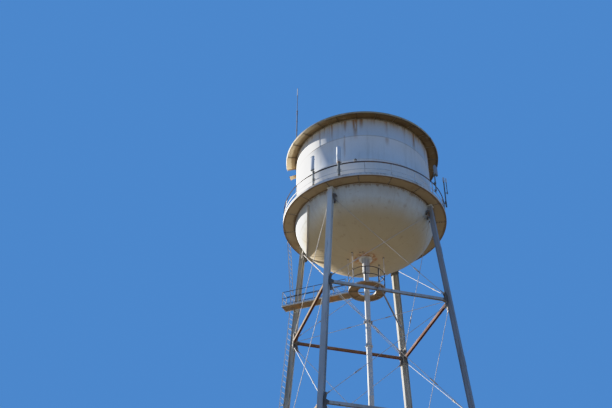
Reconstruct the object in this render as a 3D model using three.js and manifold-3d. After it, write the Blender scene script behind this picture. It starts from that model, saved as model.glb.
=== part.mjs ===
// A four-legged steel water tower: a cylindrical tank with an ellipsoidal bottom, a low conical
// roof with a wide eave, a balcony, a central riser pipe, battered legs with horizontal struts and
// crossed tie rods, a small platform round the riser, a walkway, ladders and aerials.
// Millimetres, +Z up, the origin on the ground under the middle of the tank.
// Azimuths are degrees from +X towards +Y. The legs stand at -135, -45, 45 and 135.

import * as THREE from 'three';
import { mergeVertices } from 'three/addons/utils/BufferGeometryUtils.js';
import Module from 'manifold-3d';

const wasm = await Module();
wasm.setup();

// Driving dimensions
const gap = 0.3;
const roundSteps = 48;

const tankRadius = 3810;
const balconyLevel = 30000;
const shellHeight = 4625;
const shellWall = 30;
const bottomDepth = 2179;
const bottomHole = 90;
const bottomSteps = 10;

const eaveRadius = 4420;
const roofSlope = 0.12;
const roofPlate = 30;
const eaveLip = 110;
const eaveLipThickness = 30;
const ventNeckRadius = 190;
const ventCapRadius = 330;
const ventHeight = 400;
const hatchAzimuth = 112;
const hatchRadius = 3500;
const hatchSize = 700;
const hatchHeight = 170;

const balconyRadius = 4490;
const floorPlate = 25;
const fasciaHeight = 160;
const fasciaThickness = 14;
const railInset = 5;
const railHeight = 955;
const midRailHeight = 450;
const railBar = 50;
const railPost = 42;
const railPosts = 20;

const legTopRadius = 3875;
const legBatter = 0.088;
const legWidth = 260;
const legDepth = 230;
const legPlate = 12;
const legWebOffset = 70;
const basePlateSize = 560;
const basePlateThickness = 30;

const pierHeight = 350;
const pierTopSize = 750;
const pierFootSize = 1100;

const strutLevels = [23973, 17589, 9090];
const strutWidth = 120;
const strutDepth = 140;
const strutWall = 10;

const rodRadius = 16;
const rodTopLevel = 29500;
const rodFootLevel = 720;
const rodOffset = 170;

const riserRadius = 136.5;
const riserFlangeRadius = 240;
const riserFlange = 40;
const expansionJoint = { radius: 196.5, low: 900, high: 40 };
const riserPierHeight = 400;
const riserPierRadius = 620;
const riserPierBatter = 120;
const stayRadius = 13;
const collarHeight = 150;
const collarWall = 30;

const platformLevel = 25803;
const platformRadius = 980;
const platformInner = 470;
const platformDepth = 80;
const platformRailHeight = 900;
const platformPosts = [162, 202.5, 247.5, 292.5, 337.5, 22.5, 67.5, 122];
const platformHangers = [162, 202.5, 337.5, 22.5];
const platformRailTurn = 320;
const smallBar = 32;
const hangerRadius = 14;
const hangerDrop = 50;
const beamWidth = 60;
const beamDepth = 100;
const beamEnd = [370, -850];

const walkwayAzimuth = 142;
const walkwayEnd = 4750;
const walkwayWidth = 520;
const walkwayPlate = 20;
const walkwayToe = 100;
const walkwayToeWall = 12;
const walkwayBays = 4;
const walkwayBracket = 60;

const ladderWidth = 400;
const ladderRail = 40;
const ladderRailWidth = 14;
const ladderClip = 20;
const rungSpacing = 300;
const rungRadius = 11;
const legLadder = { standOff: 190, foot: 1200, above: 1000, clips: [2400, 6500, 11500, 15500, 20500, 24800] };
const edgeLadder = { azimuth: 141.6, footRadius: 4250, overhang: 116, hookHeight: 80 };
const shellLadder = { azimuth: 112, standOff: 220, clips: [0.3, 0.9] };

const mast = { azimuth: -168.2, radius: 4277, foot: 100, footPlate: 16, top: 38840 };
const mastTubes = [{ radius: 32, top: 36900 }, { radius: 18, top: 38200 }, { radius: 28, top: 38840 }];

// Aerials on the balcony rail: tubes and flat panels, with heights above the balcony
const aerials = {
  aerial_left: {
    azimuth: -144,
    tubes: [{ radius: 38, low: 60, high: 2150 }],
    panel: { width: 230, depth: 70, low: 1200, high: 2150 },
  },
  aerial_middle: {
    azimuth: -126,
    tubes: [{ radius: 65, low: 180, high: 1210 }, { radius: 112, low: 1200, high: 2230 }],
  },
  aerial_corner: {
    azimuth: -51,
    tubes: [{ radius: 32, low: 430, high: 2080 }],
    panel: { width: 260, depth: 110, low: 1440, high: 2080 },
  },
  aerial_right: {
    azimuth: -28.5,
    tubes: [{ radius: 26, low: 700, high: 2740 }, { radius: 46, low: 2430, high: 2740 }],
    branch: { out: 130, radius: 16, low: 1600, high: 2640 },
  },
};
const aerialStandOff = 60;
const aerialBracket = [60, 40];

// Finishes
const finishes = {
  tankPaint: [0xe4e0d4, 0.55, 0.05],
  bottomPaint: [0xcfc8ba, 0.6, 0.05],
  roofPaint: [0xcfc5ac, 0.65, 0.05],
  legPaint: [0xb4b3ad, 0.6, 0.2],
  balconyPaint: [0xa89a80, 0.7, 0.1],
  railPaint: [0x6e5f50, 0.7, 0.2],
  strutPaint: [0x8d7358, 0.75, 0.2],
  rodSteel: [0xc3c4c2, 0.5, 0.4],
  aerialGrey: [0xd8dcdc, 0.45, 0.1],
  mastSteel: [0x7c766c, 0.55, 0.5],
  concrete: [0xa6a298, 0.9, 0],
};

function finish(name) {
  const [color, roughness, metalness] = finishes[name];
  return new THREE.MeshStandardMaterial({ color, roughness, metalness });
}

const materials = Object.fromEntries(Object.keys(finishes).map((name) => [name, finish(name)]));

// Solids: three.js geometry to a manifold and back
function solid(geometry) {
  const bare = geometry.clone();
  bare.deleteAttribute('normal');
  bare.deleteAttribute('uv');
  const merged = mergeVertices(bare, 1e-3);
  return new wasm.Manifold(new wasm.Mesh({
    numProp: 3,
    vertProperties: new Float32Array(merged.attributes.position.array),
    triVerts: new Uint32Array(merged.index.array),
  }));
}

function geometryOf(body) {
  const mesh = body.getMesh();
  const geometry = new THREE.BufferGeometry();
  geometry.setAttribute('position', new THREE.BufferAttribute(mesh.vertProperties, 3));
  geometry.setIndex(new THREE.BufferAttribute(mesh.triVerts, 1));
  return geometry;
}

function join(geometries) {
  return geometries.map(solid).reduce((whole, next) => whole.add(next));
}

function cut(body, geometries) {
  return geometries.map(solid).reduce((left, tool) => left.subtract(tool), body);
}

// Basic shapes
const radians = THREE.MathUtils.degToRad;
const zUp = new THREE.Vector3(0, 0, 1);

function onCircle(radius, azimuth, z) {
  return new THREE.Vector3(radius * Math.cos(radians(azimuth)), radius * Math.sin(radians(azimuth)), z);
}

function outward(azimuth) {
  return onCircle(1, azimuth, 0);
}

// A lathe about +Z through a profile of [radius, height] points
function turned(profile, steps = roundSteps, turn = 0) {
  const geometry = new THREE.LatheGeometry(profile.map(([r, z]) => new THREE.Vector2(r, z)), steps);
  geometry.rotateX(Math.PI / 2);
  geometry.rotateZ(radians(turn));
  return geometry;
}

function closedRing(points) {
  return [...points, points[0]];
}

// A ring of rectangular section
function band(inner, outer, low, high, steps = roundSteps) {
  return turned(closedRing([[inner, low], [outer, low], [outer, high], [inner, high]]), steps);
}

// A solid drum about +Z
function drum(radius, low, high, steps = roundSteps) {
  return turned([[0, low], [radius, low], [radius, high], [0, high]], steps);
}

// The frame whose +Z runs from a to b, with +Y as near to side as it can be
function along(a, b, side) {
  const z = b.clone().sub(a).normalize();
  const y = side.clone().addScaledVector(z, -side.dot(z)).normalize();
  const x = y.clone().cross(z);
  return new THREE.Matrix4().makeBasis(x, y, z).setPosition(a);
}

function extruded(outline, a, b, side) {
  const shape = new THREE.Shape(outline.map(([x, y]) => new THREE.Vector2(x, y)));
  const depth = a.distanceTo(b);
  const geometry = new THREE.ExtrudeGeometry(shape, { depth, bevelEnabled: false, steps: 1 });
  return geometry.applyMatrix4(along(a, b, side));
}

function rectangle(width, depth) {
  const x = width / 2;
  const y = depth / 2;
  return [[-x, -y], [x, -y], [x, y], [-x, y]];
}

function bar(a, b, width, depth, side = zUp) {
  return extruded(rectangle(width, depth), a, b, side);
}

function rod(a, b, radius, sides = 6) {
  const outline = Array.from({ length: sides }, (_, i) => {
    const angle = (2 * Math.PI * i) / sides;
    return [radius * Math.cos(angle), radius * Math.sin(angle)];
  });
  const upright = Math.abs(b.clone().sub(a).normalize().z) > 0.95;
  return extruded(outline, a, b, upright ? new THREE.Vector3(1, 0, 0) : zUp);
}

function block(x, y, z, center) {
  return new THREE.BoxGeometry(x, y, z).translate(center.x, center.y, center.z);
}

const tower = new THREE.Group();

function place(name, shape, materialName) {
  const geometry = shape.isBufferGeometry ? shape : geometryOf(shape);
  const mesh = new THREE.Mesh(geometry, materials[materialName]);
  mesh.name = name;
  tower.add(mesh);
}

// Tank and roof
function roofHeight(radius) {
  return balconyLevel + shellHeight + roofPlate + (tankRadius - radius) * roofSlope;
}

function bottomOutline(extra) {
  const last = Math.acos(bottomHole / tankRadius);
  return Array.from({ length: bottomSteps + 1 }, (_, i) => {
    const angle = (last * i) / bottomSteps;
    return [
      (tankRadius + extra) * Math.cos(angle),
      balconyLevel - gap - (bottomDepth + extra) * Math.sin(angle),
    ];
  });
}

function underTank(radius) {
  return balconyLevel - bottomDepth * Math.sqrt(1 - (radius / tankRadius) ** 2);
}

function roofPlateShape() {
  const under = (r) => roofHeight(r) - roofPlate;
  const edge = eaveRadius - eaveLipThickness;
  const lipFoot = roofHeight(eaveRadius) - eaveLip;
  return turned([
    [0, under(0)], [edge, under(edge)], [edge, lipFoot], [eaveRadius, lipFoot],
    [eaveRadius, roofHeight(eaveRadius)], [0, roofHeight(0)],
  ]);
}

function ventShape() {
  const neck = ventNeckRadius;
  const cap = ventCapRadius;
  const base = roofHeight(0);
  const eave = base + 0.6 * ventHeight;
  return turned([
    [0, base + gap], [neck, roofHeight(neck) + gap], [neck, eave], [cap, eave - 10],
    [cap, eave + 30], [neck, base + 0.92 * ventHeight], [0, base + ventHeight],
  ], 24);
}

// A box whose top and foot both follow the roof's slope
function hatchShape() {
  const center = onCircle(hatchRadius, hatchAzimuth, 0);
  const geometry = new THREE.BoxGeometry(hatchSize, hatchSize, hatchHeight);
  geometry.translate(0, 0, hatchHeight / 2);
  geometry.rotateZ(radians(hatchAzimuth)).translate(center.x, center.y, 0);
  const points = geometry.attributes.position;
  for (let i = 0; i < points.count; i += 1) {
    const roof = roofHeight(Math.hypot(points.getX(i), points.getY(i)));
    points.setZ(i, points.getZ(i) + roof + 10 * gap);
  }
  return geometry;
}

function addTank() {
  const foot = balconyLevel;
  const head = foot + shellHeight - gap;
  place('roof_cone', roofPlateShape(), 'roofPaint');
  place('roof_vent', ventShape(), 'roofPaint');
  place('roof_hatch', hatchShape(), 'roofPaint');
  place('tank_shell', band(tankRadius - shellWall, tankRadius, foot, head), 'tankPaint');
  const outside = bottomOutline(0);
  const inside = bottomOutline(-shellWall).reverse();
  inside[0][0] = outside[outside.length - 1][0];
  place('tank_bottom', turned(closedRing([...outside, ...inside]).reverse()), 'bottomPaint');
}

// Balcony
function addBalcony() {
  const level = balconyLevel;
  const inner = tankRadius + gap;
  const floor = level + floorPlate;
  const toe = balconyRadius - fasciaThickness;
  place('balcony_floor', turned(closedRing([
    [inner, level], [balconyRadius, level], [balconyRadius, level + fasciaHeight],
    [toe, level + fasciaHeight], [toe, floor], [inner, floor],
  ])), 'balconyPaint');

  const outer = toe - railInset;
  const ring = (height) => band(outer - railBar, outer, level + height - railBar, level + height);
  const postRadius = outer - railBar / 2 - (railBar - railPost);
  const posts = Array.from({ length: railPosts }, (_, i) => {
    const azimuth = -90 + (360 * i) / railPosts;
    const foot = onCircle(postRadius, azimuth, floor + gap);
    const head = onCircle(postRadius, azimuth, level + railHeight - railBar / 5);
    return bar(foot, head, railPost, railPost, outward(azimuth));
  });
  place('balcony_railing', join([ring(railHeight), ring(midRailHeight), ...posts]), 'railPaint');
}

// Legs, piers, struts and tie rods
const legNames = ['front_left', 'front_right', 'back_right', 'back_left'];
const sideNames = ['front', 'right', 'back', 'left'];

function legAzimuth(k) {
  return -135 + 90 * k;
}

function legRadius(z) {
  return legTopRadius + legBatter * (balconyLevel - z);
}

function legPoint(k, z) {
  return onCircle(legRadius(z), legAzimuth(k), z);
}

// A cover plate outside, two webs and flanges that turn out, open towards the riser
function legOutline() {
  const x = legWidth / 2;
  const y = legDepth / 2;
  const web = legWebOffset;
  const inside = web - 10;
  const right = [
    [inside, -y], [x, -y], [x, -y + legPlate], [web, -y + legPlate],
    [web, y - 2 * legPlate], [x, y - 2 * legPlate], [x, y],
  ];
  const left = right.map(([px, py]) => [-px, py]).reverse();
  return [...right, ...left, [-inside, y - legPlate], [inside, y - legPlate]];
}

// The room that a leg takes, from under the ground to over the balcony
function legEnvelope(k) {
  const low = legPoint(k, -200);
  const high = legPoint(k, balconyLevel + 400);
  return bar(low, high, legWidth + 2 * gap, legDepth + 2 * gap, outward(legAzimuth(k)));
}

function tankKeepOut() {
  const head = balconyLevel + 600;
  return turned([
    [0, balconyLevel - bottomDepth - gap], ...bottomOutline(gap).reverse(),
    [tankRadius + gap, head], [0, head],
  ]);
}

function pierShape(center) {
  const pier = new THREE.CylinderGeometry(
    pierTopSize / Math.SQRT2, pierFootSize / Math.SQRT2, pierHeight, 4, 1,
  );
  pier.rotateX(Math.PI / 2);
  return pier.translate(center.x, center.y, pierHeight / 2);
}

function addLegs() {
  const room = 3 * balconyRadius;
  const depth = 1000;
  const foot = pierHeight + gap;
  const inPlate = foot + basePlateThickness / 2;
  const above = block(room, room, depth, new THREE.Vector3(0, 0, balconyLevel - gap + depth / 2));
  const below = block(2 * room, 2 * room, depth, new THREE.Vector3(0, 0, inPlate - depth / 2));
  legNames.forEach((name, k) => {
    const side = outward(legAzimuth(k));
    const whole = solid(extruded(legOutline(), legPoint(k, 0), legPoint(k, balconyLevel + 300), side));
    const column = cut(whole, [above, below, tankKeepOut()]);
    const center = legPoint(k, foot);
    const plateTop = center.clone().setZ(foot + basePlateThickness);
    const plate = bar(center, plateTop, basePlateSize, basePlateSize, side);
    place(`leg_${name}`, column.add(solid(plate)), 'legPaint');
    place(`pier_${name}`, pierShape(center), 'concrete');
  });
}

// An inverted U, open below
function strutOutline() {
  const x = strutWidth / 2;
  const y = strutDepth / 2;
  return [
    [-x, -y], [-x + strutWall, -y], [-x + strutWall, y - strutWall], [x - strutWall, y - strutWall],
    [x - strutWall, -y], [x, -y], [x, y], [-x, y],
  ];
}

function addStruts() {
  strutLevels.forEach((level, i) => {
    sideNames.forEach((name, k) => {
      const next = (k + 1) % 4;
      const whole = solid(extruded(strutOutline(), legPoint(k, level), legPoint(next, level), zUp));
      const strut = cut(whole, [legEnvelope(k), legEnvelope(next)]);
      place(`strut_${name}_${i + 1}`, strut, 'strutPaint');
    });
  });
}

function addTieRods() {
  const heads = [rodTopLevel, ...strutLevels.map((level) => level - rodOffset)];
  const feet = [...strutLevels.map((level) => level + rodOffset), rodFootLevel];
  heads.forEach((head, i) => {
    sideNames.forEach((name, k) => {
      const next = (k + 1) % 4;
      const pair = join([
        rod(legPoint(k, head), legPoint(next, feet[i]), rodRadius),
        rod(legPoint(next, head), legPoint(k, feet[i]), rodRadius),
      ]);
      place(`tie_rods_${name}_${i + 1}`, cut(pair, [legEnvelope(k), legEnvelope(next)]), 'rodSteel');
    });
  });
}

// Riser pipe with its stays
function addRiser() {
  const foot = riserPierHeight + gap;
  const head = balconyLevel - bottomDepth - 2 * gap;
  const flange = riserFlangeRadius;
  const joint = expansionJoint;
  place('riser_pipe', turned([
    [0, foot], [flange, foot], [flange, foot + riserFlange], [riserRadius, foot + riserFlange],
    [riserRadius, head - joint.low], [joint.radius, head - joint.low + 40],
    [joint.radius, head - joint.high], [flange, head - joint.high],
    [flange, head], [0, head],
  ], 16), 'legPaint');
  place('riser_pier', turned([
    [0, 0], [riserPierRadius, 0], [riserPierRadius - riserPierBatter, riserPierHeight], [0, riserPierHeight],
  ], 8, 22.5), 'concrete');

  strutLevels.forEach((level, i) => {
    const inner = riserRadius + gap;
    const half = collarHeight / 2;
    const collar = band(inner, riserRadius + collarWall, level - half, level + half, 16);
    const stays = legNames.map((_, k) => rod(
      onCircle(inner + collarWall / 3, legAzimuth(k), level), legPoint(k, level), stayRadius,
    ));
    const whole = join([collar, ...stays]);
    place(`riser_stays_${i + 1}`, cut(whole, legNames.map((_, k) => legEnvelope(k))), 'rodSteel');
  });
}

// Platform round the riser, with its beam, railing and hangers
function platformRail(radius, level) {
  const steps = 14;
  const points = Array.from({ length: steps + 1 }, (_, i) => onCircle(
    radius, platformPosts[0] + (platformRailTurn * i) / steps, level,
  ));
  return points.slice(1).map((point, i) => {
    const reach = point.clone().sub(points[i]).setLength(smallBar / 4);
    return bar(points[i].clone().sub(reach), point.clone().add(reach), smallBar, smallBar);
  });
}

function addPlatform() {
  const floor = platformLevel + platformDepth;
  const head = floor + platformRailHeight;
  const radius = platformRadius - smallBar;
  place('platform_floor', band(platformInner, platformRadius, platformLevel, floor, 32), 'balconyPaint');

  const level = platformLevel - gap - beamDepth / 2;
  const nearEnd = new THREE.Vector3(...beamEnd, level);
  const beam = solid(bar(nearEnd, legPoint(2, level), beamWidth, beamDepth));
  place('platform_beam', cut(beam, [legEnvelope(2)]), 'strutPaint');

  const posts = platformPosts.map((azimuth) => bar(
    onCircle(radius, azimuth, floor + gap), onCircle(radius, azimuth, head),
    smallBar, smallBar, outward(azimuth),
  ));
  const hangers = platformHangers.map((azimuth) => rod(
    onCircle(radius, azimuth, head - hangerDrop),
    onCircle(radius, azimuth, underTank(radius) - legPlate), hangerRadius,
  ));
  const rails = [...platformRail(radius, head), ...platformRail(radius, floor + platformRailHeight / 2)];
  place('platform_railing', join([...rails, ...posts, ...hangers]), 'railPaint');
}

// Walkway from the platform past the back left leg
function walkwayOutline() {
  const half = walkwayWidth / 2;
  const inside = half - walkwayToeWall;
  return [
    [-half, 0], [half, 0], [half, walkwayToe], [inside, walkwayToe],
    [inside, walkwayPlate], [-inside, walkwayPlate], [-inside, walkwayToe], [-half, walkwayToe],
  ];
}

function walkwayRails(spot) {
  const first = platformRadius + 90;
  const last = walkwayEnd - smallBar;
  const overlap = 10;
  const top = platformRailHeight + walkwayPlate;
  const heights = [top - overlap, (top + walkwayToe) / 2 - overlap];
  const dir = outward(walkwayAzimuth);
  const bars = [];
  [-1, 1].forEach((side) => {
    for (let i = 0; i <= walkwayBays; i += 1) {
      const distance = first + ((last - first) * i) / walkwayBays;
      const foot = spot(distance, side, walkwayPlate);
      bars.push(bar(foot, spot(distance, side, top), smallBar, smallBar, dir));
    }
    heights.forEach((height) => {
      const near = spot(first - overlap, side, height);
      bars.push(bar(near, spot(last + overlap, side, height), smallBar, smallBar));
    });
  });
  heights.forEach((height) => {
    bars.push(bar(spot(last, -1, height), spot(last, 1, height), smallBar, smallBar));
  });
  return bars;
}

function addWalkway() {
  const dir = outward(walkwayAzimuth);
  const across = outward(walkwayAzimuth + 90);
  const under = platformLevel;
  const railLine = walkwayWidth / 2 - walkwayToeWall / 2;
  const onAxis = (distance, z) => dir.clone().multiplyScalar(distance).setZ(z);
  const spot = (distance, side, height) => onAxis(distance, 0)
    .addScaledVector(across, side * railLine).setZ(under + height);
  const deck = extruded(walkwayOutline(), onAxis(platformRadius - 20, under), onAxis(walkwayEnd, under), zUp);
  const bracketLevel = under - walkwayBracket / 2 + 5;
  const bracket = bar(
    onAxis(legRadius(under), bracketLevel), legPoint(3, bracketLevel), walkwayBracket, walkwayBracket,
  );
  const keepOut = drum(platformRadius + gap, under - 20, under + 400, 32);
  const whole = join([deck, bracket, ...walkwayRails(spot)]);
  place('walkway', cut(whole, [legEnvelope(3), keepOut]), 'balconyPaint');
}

// Ladders
function ladder(foot, head, side) {
  const rise = head.clone().sub(foot);
  const frame = along(foot, head, side);
  const across = new THREE.Vector3().setFromMatrixColumn(frame, 0);
  const half = ladderWidth / 2;
  const shift = (point, amount) => point.clone().addScaledVector(across, amount);
  const pieces = [-half, half].map((x) => bar(
    shift(foot, x), shift(head, x), ladderRailWidth, ladderRail, side,
  ));
  const count = Math.floor(rise.length() / rungSpacing);
  for (let i = 0; i < count; i += 1) {
    const point = foot.clone().addScaledVector(rise, (i + 0.5) / count);
    pieces.push(rod(shift(point, -half), shift(point, half), rungRadius, 4));
  }
  return pieces;
}

// Up the outer side of the back left leg, past the walkway
function legLadderShape() {
  const standOff = legDepth / 2 + legLadder.standOff;
  const out = outward(legAzimuth(3));
  const onLadder = (z) => legPoint(3, z).addScaledVector(out, standOff);
  const clips = legLadder.clips.map((z) => bar(
    legPoint(3, z), onLadder(z), ladderWidth, ladderClip, zUp,
  ));
  const rungs = ladder(onLadder(legLadder.foot), onLadder(platformLevel + legLadder.above), out);
  return cut(join([...rungs, ...clips]), [legEnvelope(3)]);
}

// From the walkway's deck to the balcony's edge, leaning out over it
function edgeLadderShape() {
  const { azimuth, footRadius, overhang, hookHeight } = edgeLadder;
  const foot = onCircle(footRadius, azimuth, platformLevel + walkwayPlate + 2 + gap);
  const head = onCircle(balconyRadius + overhang, azimuth, balconyLevel + railHeight);
  const hookLevel = balconyLevel + hookHeight;
  const hook = bar(
    onCircle(balconyRadius - 30, azimuth, hookLevel),
    onCircle(balconyRadius + overhang / 2, azimuth, hookLevel), ladderWidth, ladderRail,
  );
  const keepOut = drum(balconyRadius + gap, balconyLevel - 50, balconyLevel + 300);
  return cut(join([...ladder(foot, head, outward(azimuth)), hook]), [keepOut]);
}

// From the balcony to the eave, on the far side of the tank
function shellLadderShape() {
  const { azimuth, standOff } = shellLadder;
  const radius = tankRadius + standOff;
  const foot = onCircle(radius, azimuth, balconyLevel + floorPlate + gap);
  const head = onCircle(radius, azimuth, roofHeight(radius + ladderRail) - roofPlate - 10 * gap);
  const clips = shellLadder.clips.map((share) => {
    const z = balconyLevel + shellHeight * share;
    return bar(onCircle(tankRadius - 50, azimuth, z), onCircle(radius, azimuth, z), ladderWidth, ladderClip);
  });
  const keepOut = drum(tankRadius + gap, balconyLevel, balconyLevel + shellHeight);
  return cut(join([...ladder(foot, head, outward(azimuth)), ...clips]), [keepOut]);
}

function addLadders() {
  place('ladder_lower', legLadderShape(), 'rodSteel');
  place('ladder_upper', edgeLadderShape(), 'rodSteel');
  place('ladder_shell', shellLadderShape(), 'rodSteel');
}

// Mast on the roof's edge
function addMast() {
  const center = onCircle(mast.radius, mast.azimuth, 0);
  const highestUnderFoot = (mast.radius - mast.foot) / Math.cos(Math.PI / roundSteps);
  const base = roofHeight(highestUnderFoot) + gap;
  const profile = [[0, base], [mast.foot, base], [mast.foot, base + mast.footPlate]];
  let low = base + mast.footPlate;
  mastTubes.forEach(({ radius, top }) => {
    profile.push([radius, low], [radius, top]);
    low = top + 10;
  });
  profile.push([0, mast.top]);
  const tube = turned(profile, 8).translate(center.x, center.y, 0);
  place('roof_mast', tube, 'mastSteel');
}

// Aerials, each on two brackets at the height of the rails that it passes
function railAerial({ azimuth, tubes, panel, branch }) {
  const level = balconyLevel;
  const rail = balconyRadius - fasciaThickness - railInset;
  const center = rail + tubes[0].radius + aerialStandOff;
  const spot = (out, height) => onCircle(center + out, azimuth, level + height);
  const upright = (radius, low, high, out = 0) => rod(spot(out, low), spot(out, high), radius, 8);
  const pieces = tubes.map(({ radius, low, high }) => upright(radius, low, high));
  const held = [midRailHeight, railHeight].filter((height) => height > tubes[0].low);
  held.forEach((height) => {
    const z = level + height - railBar / 2;
    pieces.push(bar(onCircle(rail - 30, azimuth, z), onCircle(center, azimuth, z), ...aerialBracket));
  });
  if (panel) {
    const { width, depth, low, high } = panel;
    pieces.push(bar(spot(depth / 2, low), spot(depth / 2, high), width, depth, outward(azimuth)));
  }
  if (branch) {
    pieces.push(upright(branch.radius, branch.low, branch.high, branch.out));
    const joint = branch.low + branch.radius;
    pieces.push(bar(spot(0, joint), spot(branch.out, joint), 2 * branch.radius, 2 * branch.radius));
  }
  const below = level + midRailHeight - 2 * railBar;
  return cut(join(pieces), [drum(rail + gap, below, level + railHeight + railBar)]);
}

function addAerials() {
  Object.entries(aerials).forEach(([name, sizes]) => {
    place(name, railAerial(sizes), 'aerialGrey');
  });
}

addTank();
addBalcony();
addLegs();
addStruts();
addTieRods();
addRiser();
addPlatform();
addWalkway();
addLadders();
addMast();
addAerials();

export default tower;
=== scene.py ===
import math

import bmesh
import bpy
from mathutils import Matrix, Vector


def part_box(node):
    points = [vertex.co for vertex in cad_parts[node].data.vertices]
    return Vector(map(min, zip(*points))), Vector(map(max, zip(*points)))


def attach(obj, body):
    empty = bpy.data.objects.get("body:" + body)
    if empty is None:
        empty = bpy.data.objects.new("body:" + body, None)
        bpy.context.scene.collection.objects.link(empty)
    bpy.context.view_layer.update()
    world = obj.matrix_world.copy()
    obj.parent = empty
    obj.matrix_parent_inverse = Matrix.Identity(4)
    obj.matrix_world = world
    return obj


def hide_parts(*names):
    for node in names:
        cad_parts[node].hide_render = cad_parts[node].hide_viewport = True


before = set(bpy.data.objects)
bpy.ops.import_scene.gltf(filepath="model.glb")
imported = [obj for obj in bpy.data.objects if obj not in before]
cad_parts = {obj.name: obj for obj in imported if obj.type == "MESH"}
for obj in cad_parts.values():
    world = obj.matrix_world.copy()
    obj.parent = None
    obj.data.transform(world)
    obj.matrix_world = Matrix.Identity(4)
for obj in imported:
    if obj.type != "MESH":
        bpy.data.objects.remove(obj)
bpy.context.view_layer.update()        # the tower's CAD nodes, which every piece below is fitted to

scene = bpy.context.scene
up = Vector((0, 0, 1))
upsideDown = Matrix.Rotation(math.pi, 4, "X")

# Main levels and radii, in metres, read from the frame
shellLow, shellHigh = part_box("tank_shell")
tankRadius, balconyLevel, shellTop = shellHigh.x, shellLow.z, shellHigh.z
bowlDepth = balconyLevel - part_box("tank_bottom")[0].z
roofLow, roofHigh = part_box("roof_cone")
eaveRadius = roofHigh.x
deckLow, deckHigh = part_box("balcony_floor")
deckRadius = deckHigh.x
ringLow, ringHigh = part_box("platform_floor")
girtMiddles = [sum(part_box("strut_front_%d" % i), Vector()) / 2 for i in (1, 2, 3)]
strutLevels = [middle.z for middle in girtMiddles]
strutReach = [-middle.y * math.sqrt(2) for middle in girtMiddles]
legBatter = (strutReach[2] - strutReach[0]) / (strutLevels[0] - strutLevels[2])
sideNames = ("front", "right", "back", "left")
legNames = ("front_left", "front_right", "back_right", "back_left")


# Places
def polar(radius, azimuth, z=0.0):
    angle = math.radians(azimuth)
    return Vector((radius * math.cos(angle), radius * math.sin(angle), z))


def legAzimuth(k):
    return -135 + 90 * k


def legRadius(z):
    return strutReach[0] + legBatter * (strutLevels[0] - z)


def legPoint(k, z):
    return polar(legRadius(z), legAzimuth(k), z)


def bowlRadius(depth):
    return tankRadius * math.sqrt(max(0.0, 1 - (depth / bowlDepth) ** 2))


def bowlLevel(radius):
    return balconyLevel - bowlDepth * math.sqrt(1 - (radius / tankRadius) ** 2)


def spaced(count, first=0.0):
    return [first + 360 * i / count for i in range(count)]


def between(first, last, count):
    return [first + (last - first) * i / count for i in range(count + 1)]


def at(spot):
    return Matrix.Translation(spot)


def axesAt(origin, x, y, z):
    return at(origin) @ Matrix((x, y, z)).transposed().to_4x4()


# A frame at start whose Z runs to end, with Y as near to side as it can be
def along(start, end, side=up):
    z = (end - start).normalized()
    if abs(side.dot(z)) > 0.98:
        side = Vector((1, 0, 0))
    y = (side - z * side.dot(z)).normalized()
    return axesAt(start, y.cross(z), y, z)


def facing(spot, way):
    return along(spot, spot + way)


# Shapes: each is made in a small bmesh of its own and then poured into the piece's
def pour(target, part, place=None, material=0):
    if place is not None:
        bmesh.ops.transform(part, matrix=place, verts=part.verts)
    bmesh.ops.recalc_face_normals(part, faces=part.faces)
    for face in part.faces:
        face.material_index = material
    mesh = bpy.data.meshes.new("poured")
    part.to_mesh(mesh)
    part.free()
    target.from_mesh(mesh)
    bpy.data.meshes.remove(mesh)


def bevelEdges(part, edges, offset):
    bmesh.ops.bevel(part, geom=edges, offset=offset, affect="EDGES", segments=2, profile=0.5, material=-1)


def addBar(bm, start, end, width, depth, side=up, material=0, bevel=0.0):
    part = bmesh.new()
    length = (end - start).length
    size = Matrix.Diagonal((width, depth, length, 1))
    bmesh.ops.create_cube(part, size=1, matrix=at((0, 0, length / 2)) @ size)
    if bevel:
        bevelEdges(part, list(part.edges), bevel)
    pour(bm, part, along(start, end, side), material)


def standCone(part, sides, lowRadius, highRadius, height):
    bmesh.ops.create_cone(part, cap_ends=True, segments=sides, radius1=lowRadius, radius2=highRadius,
                          depth=height, matrix=at((0, 0, height / 2)))


def addRod(bm, start, end, radius, sides=8, material=0, endRadius=None):
    part = bmesh.new()
    standCone(part, sides, radius, endRadius or radius, (end - start).length)
    pour(bm, part, along(start, end), material)


# A rolled section or plate: an outline pushed along a line, or through a row of frames
def addSweep(bm, outline, frames, material=0):
    part = bmesh.new()
    face = part.faces.new([part.verts.new(frames[0] @ Vector((x, y, 0))) for x, y in outline])
    for i in range(1, len(frames)):
        made = bmesh.ops.extrude_face_region(part, geom=[face], use_keep_orig=i == 1)["geom"]
        face = [item for item in made if isinstance(item, bmesh.types.BMFace)][0]
        bmesh.ops.transform(part, matrix=frames[i] @ frames[i - 1].inverted(), verts=list(face.verts))
    pour(bm, part, None, material)


def addPlate(bm, outline, place, thickness, material=0):
    addSweep(bm, outline, [place, place @ at((0, 0, thickness))], material)


def addSection(bm, outline, start, end, side=up, material=0):
    addPlate(bm, outline, along(start, end, side), (end - start).length, material)


# A profile of (radius, height) points spun round +Z, closed on itself unless it starts on the axis
def addSpin(bm, profile, steps=144, material=0, place=None, base=(0, 0)):
    part = bmesh.new()
    verts = [part.verts.new((base[0] + radius, 0, base[1] + z)) for radius, z in profile]
    edges = [part.edges.new(pair) for pair in zip(verts, verts[1:])]
    if verts[0].co.x > 0:
        edges.append(part.edges.new((verts[-1], verts[0])))
    bmesh.ops.spin(part, geom=verts + edges, cent=(0, 0, 0), axis=(0, 0, 1), angle=2 * math.pi,
                   steps=steps, use_merge=True)
    bmesh.ops.remove_doubles(part, verts=part.verts, dist=0.00001)
    pour(bm, part, place, material)


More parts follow.
